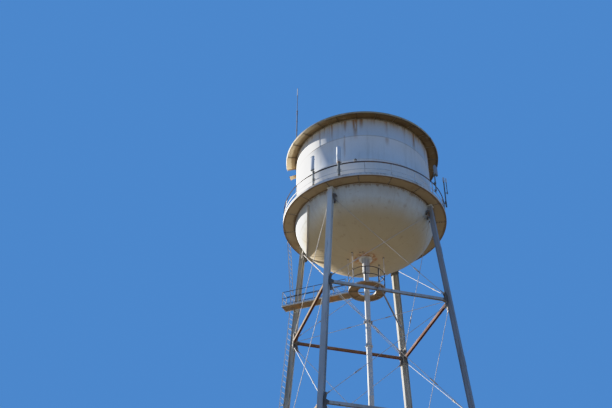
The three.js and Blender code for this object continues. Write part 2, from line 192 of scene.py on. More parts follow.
def addRing(bm, inner, outer, low, high, steps=144, material=0, place=None):
    addSpin(bm, [(inner, low), (outer, low), (outer, high), (inner, high)], steps, material, place)


# A bolt or rivet head stamped at each place, pointing along its Z
def addHeads(bm, places, radius, height, sides=6):
    part = bmesh.new()
    standCone(part, sides, radius, radius * 0.72, height)
    mesh = bpy.data.meshes.new("head")
    part.to_mesh(mesh)
    part.free()
    for place in places:
        mesh.transform(place)
        bm.from_mesh(mesh)
        mesh.transform(place.inverted())
    bpy.data.meshes.remove(mesh)


def placePiece(mesh, name, nodes, turn):
    mesh.transform(Matrix.Rotation(math.radians(turn), 4, "Z"))
    piece = bpy.data.objects.new(name, mesh)
    scene.collection.objects.link(piece)
    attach(piece, "root")
    if nodes:
        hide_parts(*nodes)
    return piece


def finishPiece(bm, name, paints, slot, *nodes, turn=0):
    mesh = bpy.data.meshes.new(name)
    bm.to_mesh(mesh)
    bm.free()
    mesh.shade_smooth()
    mesh.set_sharp_from_angle(angle=math.radians(38))
    for paint in paints:
        mesh.materials.append(paint)
    return placePiece(mesh, name, nodes, turn)


# One mesh finished for the first side or leg and turned to the next ones; covers are their first paints
def finishTurned(bm, pattern, ends, paints, slot, node="", covers=()):
    nodes = [[node % end] if node else [] for end in ends]
    first = finishPiece(bm, pattern % ends[0], paints, slot, *nodes[0])
    for k in range(1, len(ends)):
        mesh = first.data.copy()
        if covers:
            mesh.materials[0] = covers[k]
        placePiece(mesh, pattern % ends[k], nodes[k], 90 * k)


# Outlines of rolled sections, in a frame with X across and Y out
def angleOutline(width, depth, wall):
    x, y = width / 2, depth / 2
    return [(-x, -y), (x, -y), (x, -y + wall), (-x + wall, -y + wall), (-x + wall, y), (-x, y)]


def rectangle(width, depth, middle=0.0):
    x, y = width / 2, depth / 2
    return [(-x, middle - y), (x, middle - y), (x, middle + y), (-x, middle + y)]


# Camera and light
view = {
    "place": (-12.857, -35.864, 1.665), "aim": (0.20126, 0.75926, 0.61889), "roll": 0.768,
    "lens": 50.55, "sensor": 36,
}
light = {
    "sunAzimuth": 129, "sunElevation": 18, "sunStrength": 12.5, "sunAngle": 1.0,
    "sunColour": (1.0, 0.955, 0.88),
    "fillColour": (0.072, 0.243, 0.61, 1), "fillStrength": 1.0,
    "floorColour": (0.224, 0.194, 0.141, 1), "floorSize": 900,
    "shoulder": ((0.5, 0.5), (0.75, 0.72), (1.0, 0.84), (1.5, 0.90), (2.3, 0.945), (4.0, 1.0)),
}


def setView():
    data = bpy.data.cameras.new("photoView")
    data.sensor_width = view["sensor"]
    data.lens = view["lens"]
    data.clip_end = 2000
    camera = bpy.data.objects.new("photoView", data)
    forward = Vector(view["aim"]).normalized()
    right = forward.cross(up).normalized()
    roll = Matrix.Rotation(math.radians(view["roll"]), 4, "Z")
    camera.matrix_world = axesAt(view["place"], right, right.cross(forward), -forward) @ roll
    scene.collection.objects.link(camera)
    scene.camera = camera


# The brightest tones are rolled off, so that sunlit paint keeps its marks
def softenHighlights():
    scene.view_settings.use_curve_mapping = True
    mapping = scene.view_settings.curve_mapping
    mapping.use_clip = False
    brightest = light["shoulder"][-1][0]
    for channel in mapping.curves[:3]:    # the single channels stay straight over the whole range
        channel.points[1].location = (brightest, brightest)
    curve = mapping.curves[3]
    curve.points[1].location = light["shoulder"][-1]
    for bright, shown in light["shoulder"][:-1]:
        curve.points.new(bright, shown)
    for point in curve.points[:2]:
        point.handle_type = "VECTOR"
    mapping.update()


def setLight():
    data = bpy.data.lights.new("lowSun", "SUN")
    data.energy = light["sunStrength"]
    data.angle = math.radians(light["sunAngle"])
    data.color = light["sunColour"]
    lamp = bpy.data.objects.new("lowSun", data)
    elevation = math.radians(light["sunElevation"])
    towards = polar(math.cos(elevation), light["sunAzimuth"], math.sin(elevation))
    lamp.rotation_mode = "QUATERNION"
    lamp.rotation_quaternion = towards.to_track_quat("Z", "Y")
    scene.collection.objects.link(lamp)
    world = bpy.data.worlds.new("paleFill")
    world.use_nodes = True
    fill = world.node_tree.nodes["Background"]
    fill.inputs["Color"].default_value = light["fillColour"]
    fill.inputs["Strength"].default_value = light["fillStrength"]
    scene.world = world
    scene.view_settings.view_transform = "Standard"
    softenHighlights()


def setFloor():
    bm = bmesh.new()
    bmesh.ops.create_grid(bm, x_segments=1, y_segments=1, size=light["floorSize"] / 2)
    mesh = bpy.data.meshes.new("studio_floor")
    bm.to_mesh(mesh)
    bm.free()
    paint = bpy.data.materials.new("floorPaint")
    paint.use_nodes = True
    shader = paint.node_tree.nodes["Principled BSDF"]
    shader.inputs["Base Color"].default_value = light["floorColour"]
    shader.inputs["Roughness"].default_value = 0.95
    mesh.materials.append(paint)
    ground = bpy.data.objects.new("studio_floor", mesh)
    scene.collection.objects.link(ground)


setView()
setLight()
setFloor()
print("camera, light and floor are set")


# Shader helpers: each takes sockets or plain values and gives back a socket
def plug(tree, value, socket):
    if isinstance(value, bpy.types.NodeSocket):
        tree.links.new(value, socket)
    else:
        socket.default_value = value


def addNode(tree, kind, inputs, **settings):
    node = tree.nodes.new("ShaderNode" + kind)
    for name, value in settings.items():
        setattr(node, name, value)
    for key, value in inputs.items():
        plug(tree, value, node.inputs[key])
    return node.outputs


def maths(tree, operation, *values, clamp=False):
    return addNode(tree, "Math", dict(enumerate(values)), operation=operation, use_clamp=clamp)[0]


def chain(tree, operation, result, others):
    for value in others:
        result = maths(tree, operation, result, value)
    return result


def times(tree, first, *others):
    return chain(tree, "MULTIPLY", first, others)


def plus(tree, first, *others):
    return chain(tree, "ADD", first, others)


def minus(tree, first, second):
    return maths(tree, "SUBTRACT", first, second)


def vectorMaths(tree, operation, *values):
    return addNode(tree, "VectorMath", dict(enumerate(values)), operation=operation)[0]


def spread(tree, value, low, high, outLow=0.0, outHigh=1.0):
    inputs = dict(enumerate((value, low, high, outLow, outHigh)))
    return addNode(tree, "MapRange", inputs, interpolation_type="SMOOTHSTEP")[0]


def stretch(tree, vector, scale, shift=(0, 0, 0)):
    return addNode(tree, "Mapping", {"Vector": vector, "Location": shift, "Scale": scale})[0]


def cloud(tree, vector, scale, detail=4.0, roughness=0.55):
    inputs = {"Vector": vector, "Scale": scale, "Detail": detail, "Roughness": roughness}
    return addNode(tree, "TexNoise", inputs)[0]


def blendColour(tree, share, first, second, mode="MIX"):
    return addNode(tree, "Mix", {0: share, 6: first, 7: second}, data_type="RGBA", blend_type=mode)[2]


def parts(tree, vector):
    return addNode(tree, "SeparateXYZ", {0: vector})


def joined(tree, x, y, z):
    return addNode(tree, "CombineXYZ", {0: x, 1: y, 2: z})[0]


def useGroup(tree, group, **values):
    return addNode(tree, "Group", values, node_tree=group)


# Inputs are names with their first values; a plain number is a Float, three are a Vector, four a Color
def newGroup(name, inputs, outputs):
    group = bpy.data.node_groups.new(name, "ShaderNodeTree")
    for label, value in inputs.items():
        kind = "Float" if isinstance(value, float) else ("Vector", "Color")[len(value) - 3]
        socket = group.interface.new_socket(label, in_out="INPUT", socket_type="NodeSocket" + kind)
        socket.default_value = value
    for label in outputs:
        kind = "Color" if label == "Color" else "Float"
        group.interface.new_socket(label, in_out="OUTPUT", socket_type="NodeSocket" + kind)
    return group, group.nodes.new("NodeGroupInput").outputs, group.nodes.new("NodeGroupOutput").inputs


# Weathered paint: chalky tone, rain dirt that runs down, rust blooms and pits
def makeWeather():
    white = (0.8, 0.8, 0.8, 1)
    group, given, made = newGroup("weatheredPaint", {
        "Vector": (0, 0, 0), "Paint": white, "Dirt": white, "Rust": white,
        "DirtShare": 0.4, "RustShare": 0.2, "Grain": 1.0,
    }, ("Color", "Roughness", "Height"))
    paint, dirt, rust, grain = given["Paint"], given["Dirt"], given["Rust"], given["Grain"]
    grained = vectorMaths(group, "MULTIPLY", given["Vector"], joined(group, grain, grain, grain))
    broad = spread(group, cloud(group, grained, 0.5, 5, 0.6), 0.32, 0.68)
    runs = cloud(group, stretch(group, grained, (4.5, 4.5, 0.4)), 1.0, 6, 0.62)
    fine = cloud(group, grained, 19, 6, 0.65)
    blooms = cloud(group, grained, 2.6, 9, 0.7)
    trails = cloud(group, stretch(group, grained, (8, 8, 0.7), (3, 5, 1)), 1.0, 6, 0.6)
    tone = blendColour(group, times(group, broad, 0.55), paint, blendColour(group, 0.35, paint, dirt))
    tone = blendColour(group, times(group, spread(group, runs, 0.48, 0.72), given["DirtShare"]), tone, dirt)
    tone = blendColour(group, 0.12, tone, joined(group, fine, fine, fine), "OVERLAY")
    edge = minus(group, 0.78, times(group, given["RustShare"], 0.4))
    bloom = spread(group, blooms, edge, plus(group, edge, 0.07))
    trail = spread(group, trails, edge, plus(group, edge, 0.16), 0.0, 0.7)
    rusty = maths(group, "MAXIMUM", bloom, trail)
    rustTone = blendColour(group, fine, rust, blendColour(group, 0.5, rust, (0.05, 0.02, 0.01, 1)))
    plug(group, blendColour(group, rusty, tone, rustTone), made["Color"])
    rough = plus(group, times(group, broad, 0.14), times(group, rusty, 0.28))
    plug(group, maths(group, "ADD", rough, 0.6, clamp=True), made["Roughness"])
    pits = times(group, rusty, minus(group, 0.2, fine))
    plug(group, plus(group, times(group, fine, 0.25), pits), made["Height"])
    return group


# One named streak: a narrow run down the wall at an azimuth, from Top to Foot
def makeStreak():
    group, given, made = newGroup("streakMark", {
        "Vector": (0, 0, 0), "Azimuth": 0.0, "Top": 0.0, "Foot": 0.0, "Width": 0.1,
    }, ("Mask",))
    inputs = {"Vector": given["Vector"], "Angle": times(group, given["Azimuth"], -1.0)}
    turned = addNode(group, "VectorRotate", inputs, rotation_type="Z_AXIS")[0]
    out, aside, z = parts(group, turned)
    wander = minus(group, cloud(group, stretch(group, given["Vector"], (0.6, 0.6, 2.2)), 1.0, 3), 0.5)
    offset = maths(group, "ABSOLUTE", plus(group, aside, times(group, wander, 0.08)))
    narrow = spread(group, offset, times(group, given["Width"], 0.15), given["Width"], 1.0, 0.0)
    fade = spread(group, z, given["Foot"], given["Top"])
    under = maths(group, "LESS_THAN", z, plus(group, given["Top"], 0.01))
    ragged = spread(group, cloud(group, stretch(group, given["Vector"], (9, 9, 0.8)), 1.0, 4), 0.25, 0.6)
    front = maths(group, "GREATER_THAN", out, 0.0)
    plug(group, times(group, narrow, fade, ragged, front, under), made["Mask"])
    return group


# Stain that bleeds down from a level, in runs of uneven length
def makeBleed():
    group, given, made = newGroup("bleedUnder", {
        "Vector": (0, 0, 0), "Level": 0.0, "Reach": 1.0, "Share": 0.5,
    }, ("Mask",))
    fall = minus(group, given["Level"], parts(group, given["Vector"])[2])
    drop = maths(group, "DIVIDE", fall, given["Reach"])
    runs = cloud(group, stretch(group, given["Vector"], (5.5, 5.5, 0.12)), 1.0, 5, 0.68)
    limit = minus(group, plus(group, times(group, drop, 0.35), 0.62), times(group, given["Share"], 0.3))
    mask = spread(group, runs, limit, plus(group, limit, 0.18))
    under = maths(group, "GREATER_THAN", drop, 0.0)
    plug(group, times(group, mask, under, spread(group, drop, 0.35, 1.0, 1.0, 0.0)), made["Mask"])
    return group


weather = makeWeather()
streakMark = makeStreak()
bleedUnder = makeBleed()
rustTones = {"deep": (0.115, 0.045, 0.018), "orange": (0.33, 0.135, 0.04), "brown": (0.16, 0.085, 0.04)}


# A material of weathered paint; layers are (function that gives a mask, tone) laid over it
def paintOf(name, tone, dirtTone, rust, dirt, rusty, bump, layers=(), gloss=0.35, metallic=0.0, grain=1.0):
    paint = bpy.data.materials.new(name)
    paint.use_nodes = True
    tree = paint.node_tree
    shader = tree.nodes["Principled BSDF"]
    coordinates = addNode(tree, "TexCoord", {})
    place = coordinates["Object"]
    worn = useGroup(tree, weather, Vector=place, Paint=(*tone, 1), Dirt=(*dirtTone, 1),
                    Rust=(*rustTones[rust], 1), DirtShare=dirt, RustShare=rusty, Grain=grain)
    colour = worn["Color"]
    for mask, layerTone in layers:
        colour = blendColour(tree, mask(tree, place, coordinates["Normal"]), colour, (*layerTone, 1))
    relief = addNode(tree, "Bump", {"Strength": bump, "Distance": 0.006, "Height": worn["Height"]})[0]
    values = {"Base Color": colour, "Roughness": worn["Roughness"], "Metallic": metallic,
              "Specular IOR Level": gloss, "Normal": relief}
    for socket, value in values.items():
        plug(tree, value, shader.inputs[socket])
    return paint


# Parts of masks that several layers share
def radiusOf(tree, place):
    x, y = parts(tree, place)[:2]
    return maths(tree, "SQRT", plus(tree, times(tree, x, x), times(tree, y, y)))


def turnFrom(tree, place, first):
    x, y = parts(tree, place)[:2]
    return minus(tree, maths(tree, "ARCTAN2", y, x), math.radians(first))


def lookingDown(tree, normal, full=-0.8, none=-0.35):
    return spread(tree, parts(tree, normal)[2], full, none, 1.0, 0.0)


# Mask makers for the layers
def streakLayer(azimuth, top, foot, width, share):
    def mask(tree, place, normal):
        found = useGroup(tree, streakMark, Vector=place, Azimuth=math.radians(azimuth),
                         Top=balconyLevel + top, Foot=balconyLevel + foot, Width=width)["Mask"]
        return times(tree, found, share)
    return mask


def bleedLayer(level, reach, amount, share):
    def mask(tree, place, normal):
        found = useGroup(tree, bleedUnder, Vector=place, Level=level, Reach=reach, Share=amount)["Mask"]
        return times(tree, found, share)
    return mask


def lineLayer(level, half, share):
    def mask(tree, place, normal):
        away = maths(tree, "ABSOLUTE", minus(tree, parts(tree, place)[2], level))
        return spread(tree, away, half * 0.4, half, share, 0.0)
    return mask


# Faces that look down, broken up by a cloud
def underLayer(share, none, full, breakUp):
    def mask(tree, place, normal):
        patchy = spread(tree, cloud(tree, place, 1.7, 6, 0.65), 0.3, 0.31 + 0.4 * breakUp, 1 - breakUp)
        return times(tree, lookingDown(tree, normal, full, none), patchy, share)
    return mask


# A ring between two radii, on faces that look down or on all
def ringLayer(inner, outer, share, soft=0.06, downOnly=True):
    def mask(tree, place, normal):
        ragged = times(tree, minus(tree, cloud(tree, place, 2.2, 5, 0.6), 0.5), 0.25)
        radius = plus(tree, radiusOf(tree, place), ragged)
        found = times(tree, spread(tree, radius, inner - soft, inner + soft),
                      spread(tree, radius, outer - soft, outer + soft, 1.0, 0.0))
        if downOnly:
            found = times(tree, found, lookingDown(tree, normal))
        return times(tree, found, share)
    return mask


# Radial joints on faces that look down: count of them, the first one's azimuth, half width in metres
def spokeLayer(count, first, half, share):
    def mask(tree, place, normal):
        away = maths(tree, "PINGPONG", turnFrom(tree, place, first), math.pi / count)
        away = times(tree, away, radiusOf(tree, place))
        patchy = spread(tree, cloud(tree, place, 1.3, 4, 0.6), 0.35, 0.6, 0.45)
        narrow = spread(tree, away, half * 0.3, half, share, 0.0)
        return times(tree, narrow, lookingDown(tree, normal), patchy)
    return mask


# A tone of its own for each plate between the radial joints
def plateLayer(count, first, share):
    def mask(tree, place, normal):
        turn = times(tree, turnFrom(tree, place, first), count / (2 * math.pi))
        number = maths(tree, "FLOOR", turn)
        chance = addNode(tree, "TexWhiteNoise", {"W": number}, noise_dimensions="1D")["Value"]
        return times(tree, chance, share)
    return mask


# Rain marks that run along the bowl's meridians
def meridianLayer(share, low, high, fineness):
    def mask(tree, place, normal):
        x, y = parts(tree, place)[:2]
        heading = vectorMaths(tree, "NORMALIZE", joined(tree, x, y, 0.0))
        found = cloud(tree, stretch(tree, heading, (fineness, fineness, 1), (0, 0, 2)), 1.0, 7, 0.7)
        patchy = spread(tree, cloud(tree, place, 0.8, 4, 0.6), 0.35, 0.6)
        return times(tree, spread(tree, found, low, high), patchy, share)
    return mask


# A soft change of tone along a coordinate (0, 1, 2 for x, y, z), full on its low side
def fallLayer(axis, low, high, share):
    def mask(tree, place, normal):
        return spread(tree, parts(tree, place)[axis], low, high, share, 0.0)
    return mask


def bothLayers(first, second):
    def mask(tree, place, normal):
        return times(tree, first(tree, place, normal), second(tree, place, normal))
    return mask


# A layer kept to where a coordinate lies on the low side of a soft edge
def keptBelow(layer, axis, low, high):
    return bothLayers(layer, fallLayer(axis, low, high, 1.0))


# Blotches from a cloud alone
def blotchLayer(scale, low, high, share, heavy=0.65, squeeze=(1, 1, 1)):
    def mask(tree, place, normal):
        found = cloud(tree, stretch(tree, place, squeeze, (2, 7, 4)), scale, 8, heavy)
        return spread(tree, found, low, high, 0.0, share)
    return mask


# Paints that several pieces share: tone, dirt, rust, share of dirt, share of rust, bump and layers
whitePaint = paintOf("whitePaint", (0.72, 0.71, 0.67), (0.34, 0.29, 0.22), "orange", 0.5, 0.38, 0.35,
                     [(blotchLayer(2.5, 0.56, 0.66, 0.5), (0.36, 0.22, 0.12))])
darkRailPaint = paintOf("darkRailPaint", (0.085, 0.07, 0.06), (0.04, 0.03, 0.025), "brown", 0.6, 0.4, 0.4)


# Tank: three courses of plate, an ellipsoidal bottom in gores, a conical roof with an open eave
shell = {
    "wall": 0.03, "courses": (1.68, 3.36), "bead": 0.006, "beadHalf": 0.02, "plates": 4,
    "joints": (-98.0, -133.5, -146.7), "streakWidth": 1.35, "streakShare": 0.9,
}
seams = [balconyLevel + level for level in shell["courses"]]
streaks = [  # azimuth, top and foot above the balcony, half width, share
    (-114.2, 4.6, 2.9, 0.13, 2.0), (-109.2, 4.6, 3.7, 0.11, 0.95), (-122.5, 4.6, 3.5, 0.10, 1.0),
    (-123.5, 3.5, 1.2, 0.06, 0.9), (-88.2, 4.6, 3.4, 0.10, 0.75), (-88.2, 3.3, 2.6, 0.14, 0.5),
    (-71.3, 4.6, 3.5, 0.10, 0.6), (-60.3, 4.6, 3.0, 0.13, 1.6), (-64.5, 4.6, 3.9, 0.09, 0.6),
    (-41.1, 4.6, 2.2, 0.08, 0.85), (-146.7, 4.6, 3.3, 0.06, 0.8), (-134.2, 4.6, 1.9, 0.07, 0.85),
    (-136.5, 4.6, 2.4, 0.05, 0.5), (-100.0, 4.6, 4.0, 0.2, 0.5), (-80.0, 4.6, 4.1, 0.16, 0.5),
    (-52.0, 4.6, 3.9, 0.14, 0.6), (-30.0, 4.6, 1.2, 0.10, 0.9), (-24.0, 4.6, 0.6, 0.16, 0.7),
    (-156.0, 4.6, 4.1, 0.10, 0.4), (12.0, 4.6, 2.7, 0.14, 1.8), (35.0, 4.6, 2.2, 0.1, 1.5),
    (48.0, 4.6, 3.6, 0.12, 1.5), (64.0, 4.6, 3.2, 0.13, 1.8), (81.0, 4.6, 1.9, 0.08, 1.6),
    (96.0, 4.6, 2.6, 0.12, 1.8), (110.0, 4.6, 3.5, 0.1, 1.6), (124.0, 4.6, 2.4, 0.14, 2.0),
    (137.0, 4.6, 3.6, 0.12, 1.8), (150.0, 4.6, 3.0, 0.12, 1.8), (172.0, 4.6, 3.3, 0.09, 1.2),
]


def makeShellPaint():
    low, high = seams
    seamTone, runTone = (0.27, 0.21, 0.15), (0.44, 0.31, 0.17)
    # Streaks on the sunlit back take a darker tone than those on the shaded front, so that they still show in
    # the sun: painted shade
    shadyTone, sunnyTone = (0.42, 0.21, 0.075), (0.24, 0.13, 0.06)
    layers = [
        (lineLayer(low, 0.03, 0.2), seamTone),
        (lineLayer(high, 0.03, 0.5), seamTone),
        # Darker line along the upper seam on the sunlit left: painted shadow under the lap
        (keptBelow(lineLayer(high, 0.035, 0.9), 0, -3.2, -2.9), (0.20, 0.15, 0.10)),    # in the sun
        (bleedLayer(shellTop, 1.5, 0.62, 0.6), runTone),
        (bleedLayer(shellTop, 0.34, 0.85, 0.45), (0.28, 0.19, 0.11)),
        (bleedLayer(high, 0.7, 0.3, 0.45), runTone),
        (bleedLayer(low, 0.9, 0.35, 0.45), runTone),
        (lineLayer(balconyLevel, 1.9, 0.75), (0.92, 0.86, 0.77)),
    ]
    for azimuth, top, foot, width, share in streaks:
        layer = streakLayer(azimuth, top, foot, width * shell["streakWidth"], share * shell["streakShare"])
        layers.append((layer, shadyTone if azimuth < 0 else sunnyTone))
    return paintOf("shellPaint", (0.76, 0.755, 0.72), (0.50, 0.47, 0.40), "orange", 0.32, 0.06, 0.25, layers)


# A raised bead along points of a surface; side(point) gives the way out of it
def surfaceBead(bm, points, side, half, height):
    outline = [(-half, -height), (half, -height), (half * 0.4, height), (-half * 0.4, height)]
    frames = [along(here, there, side(here)) for here, there in zip(points, points[1:])]
    addSweep(bm, outline, [*frames, at(points[-1] - points[-2]) @ frames[-1]])


def buildShell():
    bm = bmesh.new()
    face, half, inner = tankRadius - shell["bead"], shell["beadHalf"], tankRadius - shell["wall"]
    profile = [(inner, balconyLevel), (face, balconyLevel)]
    for z in seams:
        profile += [(face, z - half), (tankRadius, z - half * 0.4), (tankRadius, z + half * 0.4),
                    (face, z + half)]
    addSpin(bm, profile + [(face, shellTop), (inner, shellTop)])
    levels = [balconyLevel, *seams, shellTop]
    for start, low, high in zip(shell["joints"], levels, levels[1:]):
        for azimuth in spaced(shell["plates"], start):
            addSection(bm, rectangle(half, 2 * shell["bead"]), polar(face, azimuth, low + half),
                       polar(face, azimuth, high - half), polar(1, azimuth))
    finishPiece(bm, "shell_courses", [makeShellPaint()], "tank_paint", "tank_shell")


bowl = {
    "gores": 12, "goreTurn": -163, "crown": 0.62, "knuckle": 0.36, "opening": 0.09, "pad": (0.245, 0.36),
    "stubs": ((0.713, -133.6), (0.702, -120.3)), "stubRadius": 0.032,
    "stubDrop": 0.05, "stubCap": (0.045, 0.02, 8),
}


def makeBowlPaint():
    # Warm taupe over the lower bowl: dust, and painted warm bounce light from the ground below
    dustAndGroundBounce = keptBelow(ringLayer(0.0, 9.0, 0.85, 0.3, False), 2, balconyLevel - 1.5, balconyLevel - 0.6)
    rustRing = bothLayers(ringLayer(0.2, 0.62, 1.0, 0.08, False), blotchLayer(4.2, 0.47, 0.56, 0.85))
    return paintOf("bowlPaint", (0.58, 0.61, 0.585), (0.36, 0.34, 0.30), "orange", 0.2, 0.05, 0.25, [
        (meridianLayer(0.5, 0.48, 0.7, 5.0), (0.44, 0.39, 0.32)),
        (meridianLayer(0.45, 0.52, 0.66, 14.0), (0.36, 0.31, 0.25)),
        (blotchLayer(1.1, 0.5, 0.7, 0.35), (0.48, 0.42, 0.34)),
        (dustAndGroundBounce, (0.45, 0.345, 0.19)),
        (ringLayer(0.0, 0.95, 0.5, 0.3, False), (0.56, 0.40, 0.25)),
        (blotchLayer(3.4, 0.58, 0.66, 0.3), (0.30, 0.20, 0.12)),
        (rustRing, (0.40, 0.17, 0.06)),
        (bleedLayer(balconyLevel, 0.35, 0.95, 0.7), (0.25, 0.17, 0.10)),
    ], gloss=0.2)


def bowlPoint(azimuth, angle, proud=0.0):
    radius = (tankRadius + proud) * math.cos(angle)
    return polar(radius, azimuth, balconyLevel - (bowlDepth + proud) * math.sin(angle))


def buildBowl():
    bm = bmesh.new()
    bead = shell["bead"]
    angles = between(0, math.acos(bowl["opening"] / tankRadius), 28)
    outer = [bowlPoint(0, angle, -bead) for angle in angles]
    inner = [bowlPoint(0, angle, -shell["wall"]) for angle in reversed(angles)]
    inner[0].x = outer[-1].x
    addSpin(bm, [(point.x, point.z) for point in outer + inner])
    crown = math.acos(bowl["crown"] / tankRadius)
    for azimuth in spaced(bowl["gores"], bowl["goreTurn"]):
        points = [bowlPoint(azimuth, angle, -bead) for angle in between(0.03, crown, 22)]
        surfaceBead(bm, points, lambda point: Vector((point.x, point.y, 2 * (point.z - balconyLevel))),
                    shell["beadHalf"], bead)
    for angle in (crown, bowl["knuckle"]):
        corners = bowlPoint(0, angle + 0.006), bowlPoint(0, angle - 0.006), bowlPoint(0, angle, -2 * bead)
        addSpin(bm, [(corner.x, corner.z) for corner in corners])
    # Pad round the riser's joint, and two stubs beside it
    foot = balconyLevel - bowlDepth
    addRing(bm, *bowl["pad"], foot - 0.010, foot + 0.012, 40, 1)
    places = []
    for radius, azimuth in bowl["stubs"]:
        spot = polar(radius, azimuth, bowlLevel(radius))
        addRod(bm, spot + up * 0.02, spot - up * bowl["stubDrop"], bowl["stubRadius"], 10, 2)
        places.append(at(spot - up * (bowl["stubDrop"] - 0.005)) @ upsideDown)
    addHeads(bm, places, *bowl["stubCap"])
    paints = [makeBowlPaint(), whitePaint, darkRailPaint]
    finishPiece(bm, "bowl_plates", paints, "bottom_paint", "tank_bottom")


# Cable conduit clipped to the bowl, from the left of the balcony round to the ladder's side
conduit = {
    "heading": 165.8, "offset": 3.1, "reach": 2.17, "half": 0.019, "tall": 0.07, "steps": 40, "clipStep": 5,
}
conduitPaint = paintOf("conduitPaint", (0.46, 0.44, 0.40), (0.28, 0.25, 0.21), "brown", 0.4, 0.2, 0.3,
                       gloss=0.2)


def bowlNormal(point):
    lean = (tankRadius / bowlDepth) ** 2
    return Vector((point.x, point.y, (point.z - balconyLevel) * lean)).normalized()


def buildConduit():
    bm = bmesh.new()
    tall, steps = conduit["tall"], conduit["steps"]
    aside, ahead = polar(1, conduit["heading"]), polar(1, conduit["heading"] + 90)
    points = []
    for reach in between(conduit["reach"], -conduit["reach"], steps):
        spot = aside * conduit["offset"] + ahead * reach
        spot.z = bowlLevel(spot.length)
        points.append(spot + bowlNormal(spot) * (tall - 0.008))
    surfaceBead(bm, points, bowlNormal, conduit["half"], tall)
    for point in points[2:steps:conduit["clipStep"]]:
        foot = point - bowlNormal(point) * (tall - 0.006)
        addBar(bm, foot - aside * 0.055, foot + aside * 0.055, 0.04, 0.008, bowlNormal(point))
    finishPiece(bm, "bowl_conduit", [conduitPaint], "rail_paint")


roof = {
    "plate": 0.03, "lip": 0.11, "lipWall": 0.03, "laps": 24, "lapTurn": 7.5, "lapWidth": 0.07,
    "lapHeight": 0.006, "rafterWidth": 0.05, "rafterDepth": 0.045, "cut": 3.92, "gap": (126.0, 157.5),
    "gapPlate": (145.5, 149.5),
}
roofSlope = (roofHigh.z - roofLow.z - roof["lip"]) / eaveRadius
roofPaint = paintOf("roofPaint", (0.55, 0.49, 0.37), (0.30, 0.25, 0.17), "brown", 0.5, 0.55, 0.4, [
    (underLayer(0.97, -0.35, -0.7, 0.25), (0.20, 0.12, 0.04)),
    (ringLayer(4.26, 4.6, 0.75), (0.10, 0.056, 0.018)),
    (plateLayer(24, 7.5, 0.3), (0.13, 0.075, 0.03)),
    (blotchLayer(1.4, 0.54, 0.62, 0.5), (0.10, 0.05, 0.02)),
    # On the left the soffit is painted lighter, with a pale beige outer band: painted bounce light from the
    # sunlit shell
    (keptBelow(ringLayer(3.0, 4.6, 0.8), 0, -4.0, -2.2), (0.34, 0.235, 0.12)),
    (keptBelow(ringLayer(4.14, 4.6, 0.95), 0, -4.1, -2.9), (0.62, 0.51, 0.34)),
    # Darker ring on the soffit next to the shell: rust, and painted shade in the corner against the shell
    (ringLayer(3.0, 3.94, 0.55, 0.05), (0.07, 0.04, 0.014)),
    (spokeLayer(24, 7.5, 0.045, 0.7), (0.07, 0.038, 0.014)),
    (ringLayer(4.405, 4.6, 0.85, 0.008, False), (0.36, 0.31, 0.19)),
])


def roofTop(radius):
    return roofHigh.z - radius * roofSlope


def roofSpot(radius, azimuth, below=0.0):
    return polar(radius, azimuth, roofTop(radius) - below)


def buildRoof():
    bm = bmesh.new()
    under, cut, proud = roof["plate"], roof["cut"], roof["lapHeight"]
    edge, rim = eaveRadius - roof["lipWall"], roofTop(eaveRadius)
    foot, inner, outer = rim - roof["lip"], roofTop(cut), roofTop(edge)
    addSpin(bm, [(0, roofHigh.z - under), (cut, inner - under), (cut, inner - proud),
                 (0, roofHigh.z - proud)])
    eave = [(cut, inner - under), (edge - 0.02, outer - under), (edge, outer - under - 0.02),
            (edge - 0.012, foot + 0.012), (edge - 0.004, foot), (eaveRadius - 0.024, foot + 0.004),
            (eaveRadius - 0.006, rim - 0.06), (eaveRadius, rim - 0.02), (eaveRadius - 0.008, rim - 0.004),
            (cut, inner - proud)]
    # The eave is left open over the ladders, but for a short plate
    first, last = roof["gap"]
    for start, end in ((last, first + 360), roof["gapPlate"]):
        outs = [polar(1, azimuth) for azimuth in between(start, end, max(2, round((end - start) / 2.5)))]
        addSweep(bm, eave, [axesAt((0, 0, 0), out, up, out.cross(up)) for out in outs])
    # Laps between the roof's plates, and the rafters' ends under the eave
    low = under + roof["rafterDepth"] / 2 - 0.002
    for azimuth in spaced(roof["laps"], roof["lapTurn"]):
        bare = first < azimuth < last
        far = cut - 0.01 if bare else eaveRadius - 0.02
        addSection(bm, rectangle(roof["lapWidth"], 2 * proud), roofSpot(0.5, azimuth, 0.006),
                   roofSpot(far, azimuth, 0.006))
        if not bare:
            addSection(bm, angleOutline(roof["rafterWidth"], roof["rafterDepth"], 0.007),
                       roofSpot(tankRadius + 0.012, azimuth, low), roofSpot(edge - 0.03, azimuth, low))
    # The curb angle where the shell meets the roof
    curb = [(0.001, -0.075), (0.009, -0.075), (0.009, -0.009), (0.07, -0.018), (0.07, -0.009),
            (0.001, -0.001)]
    addSpin(bm, curb, base=(tankRadius, roofTop(tankRadius) - under))
    finishPiece(bm, "roof_plates", [roofPaint], "roof_paint", "roof_cone")


vent = {"neck": 0.19, "cap": 0.33, "rim": 0.6, "bars": 28, "bar": 0.004, "bolts": 12, "bolt": (0.009, 0.008)}


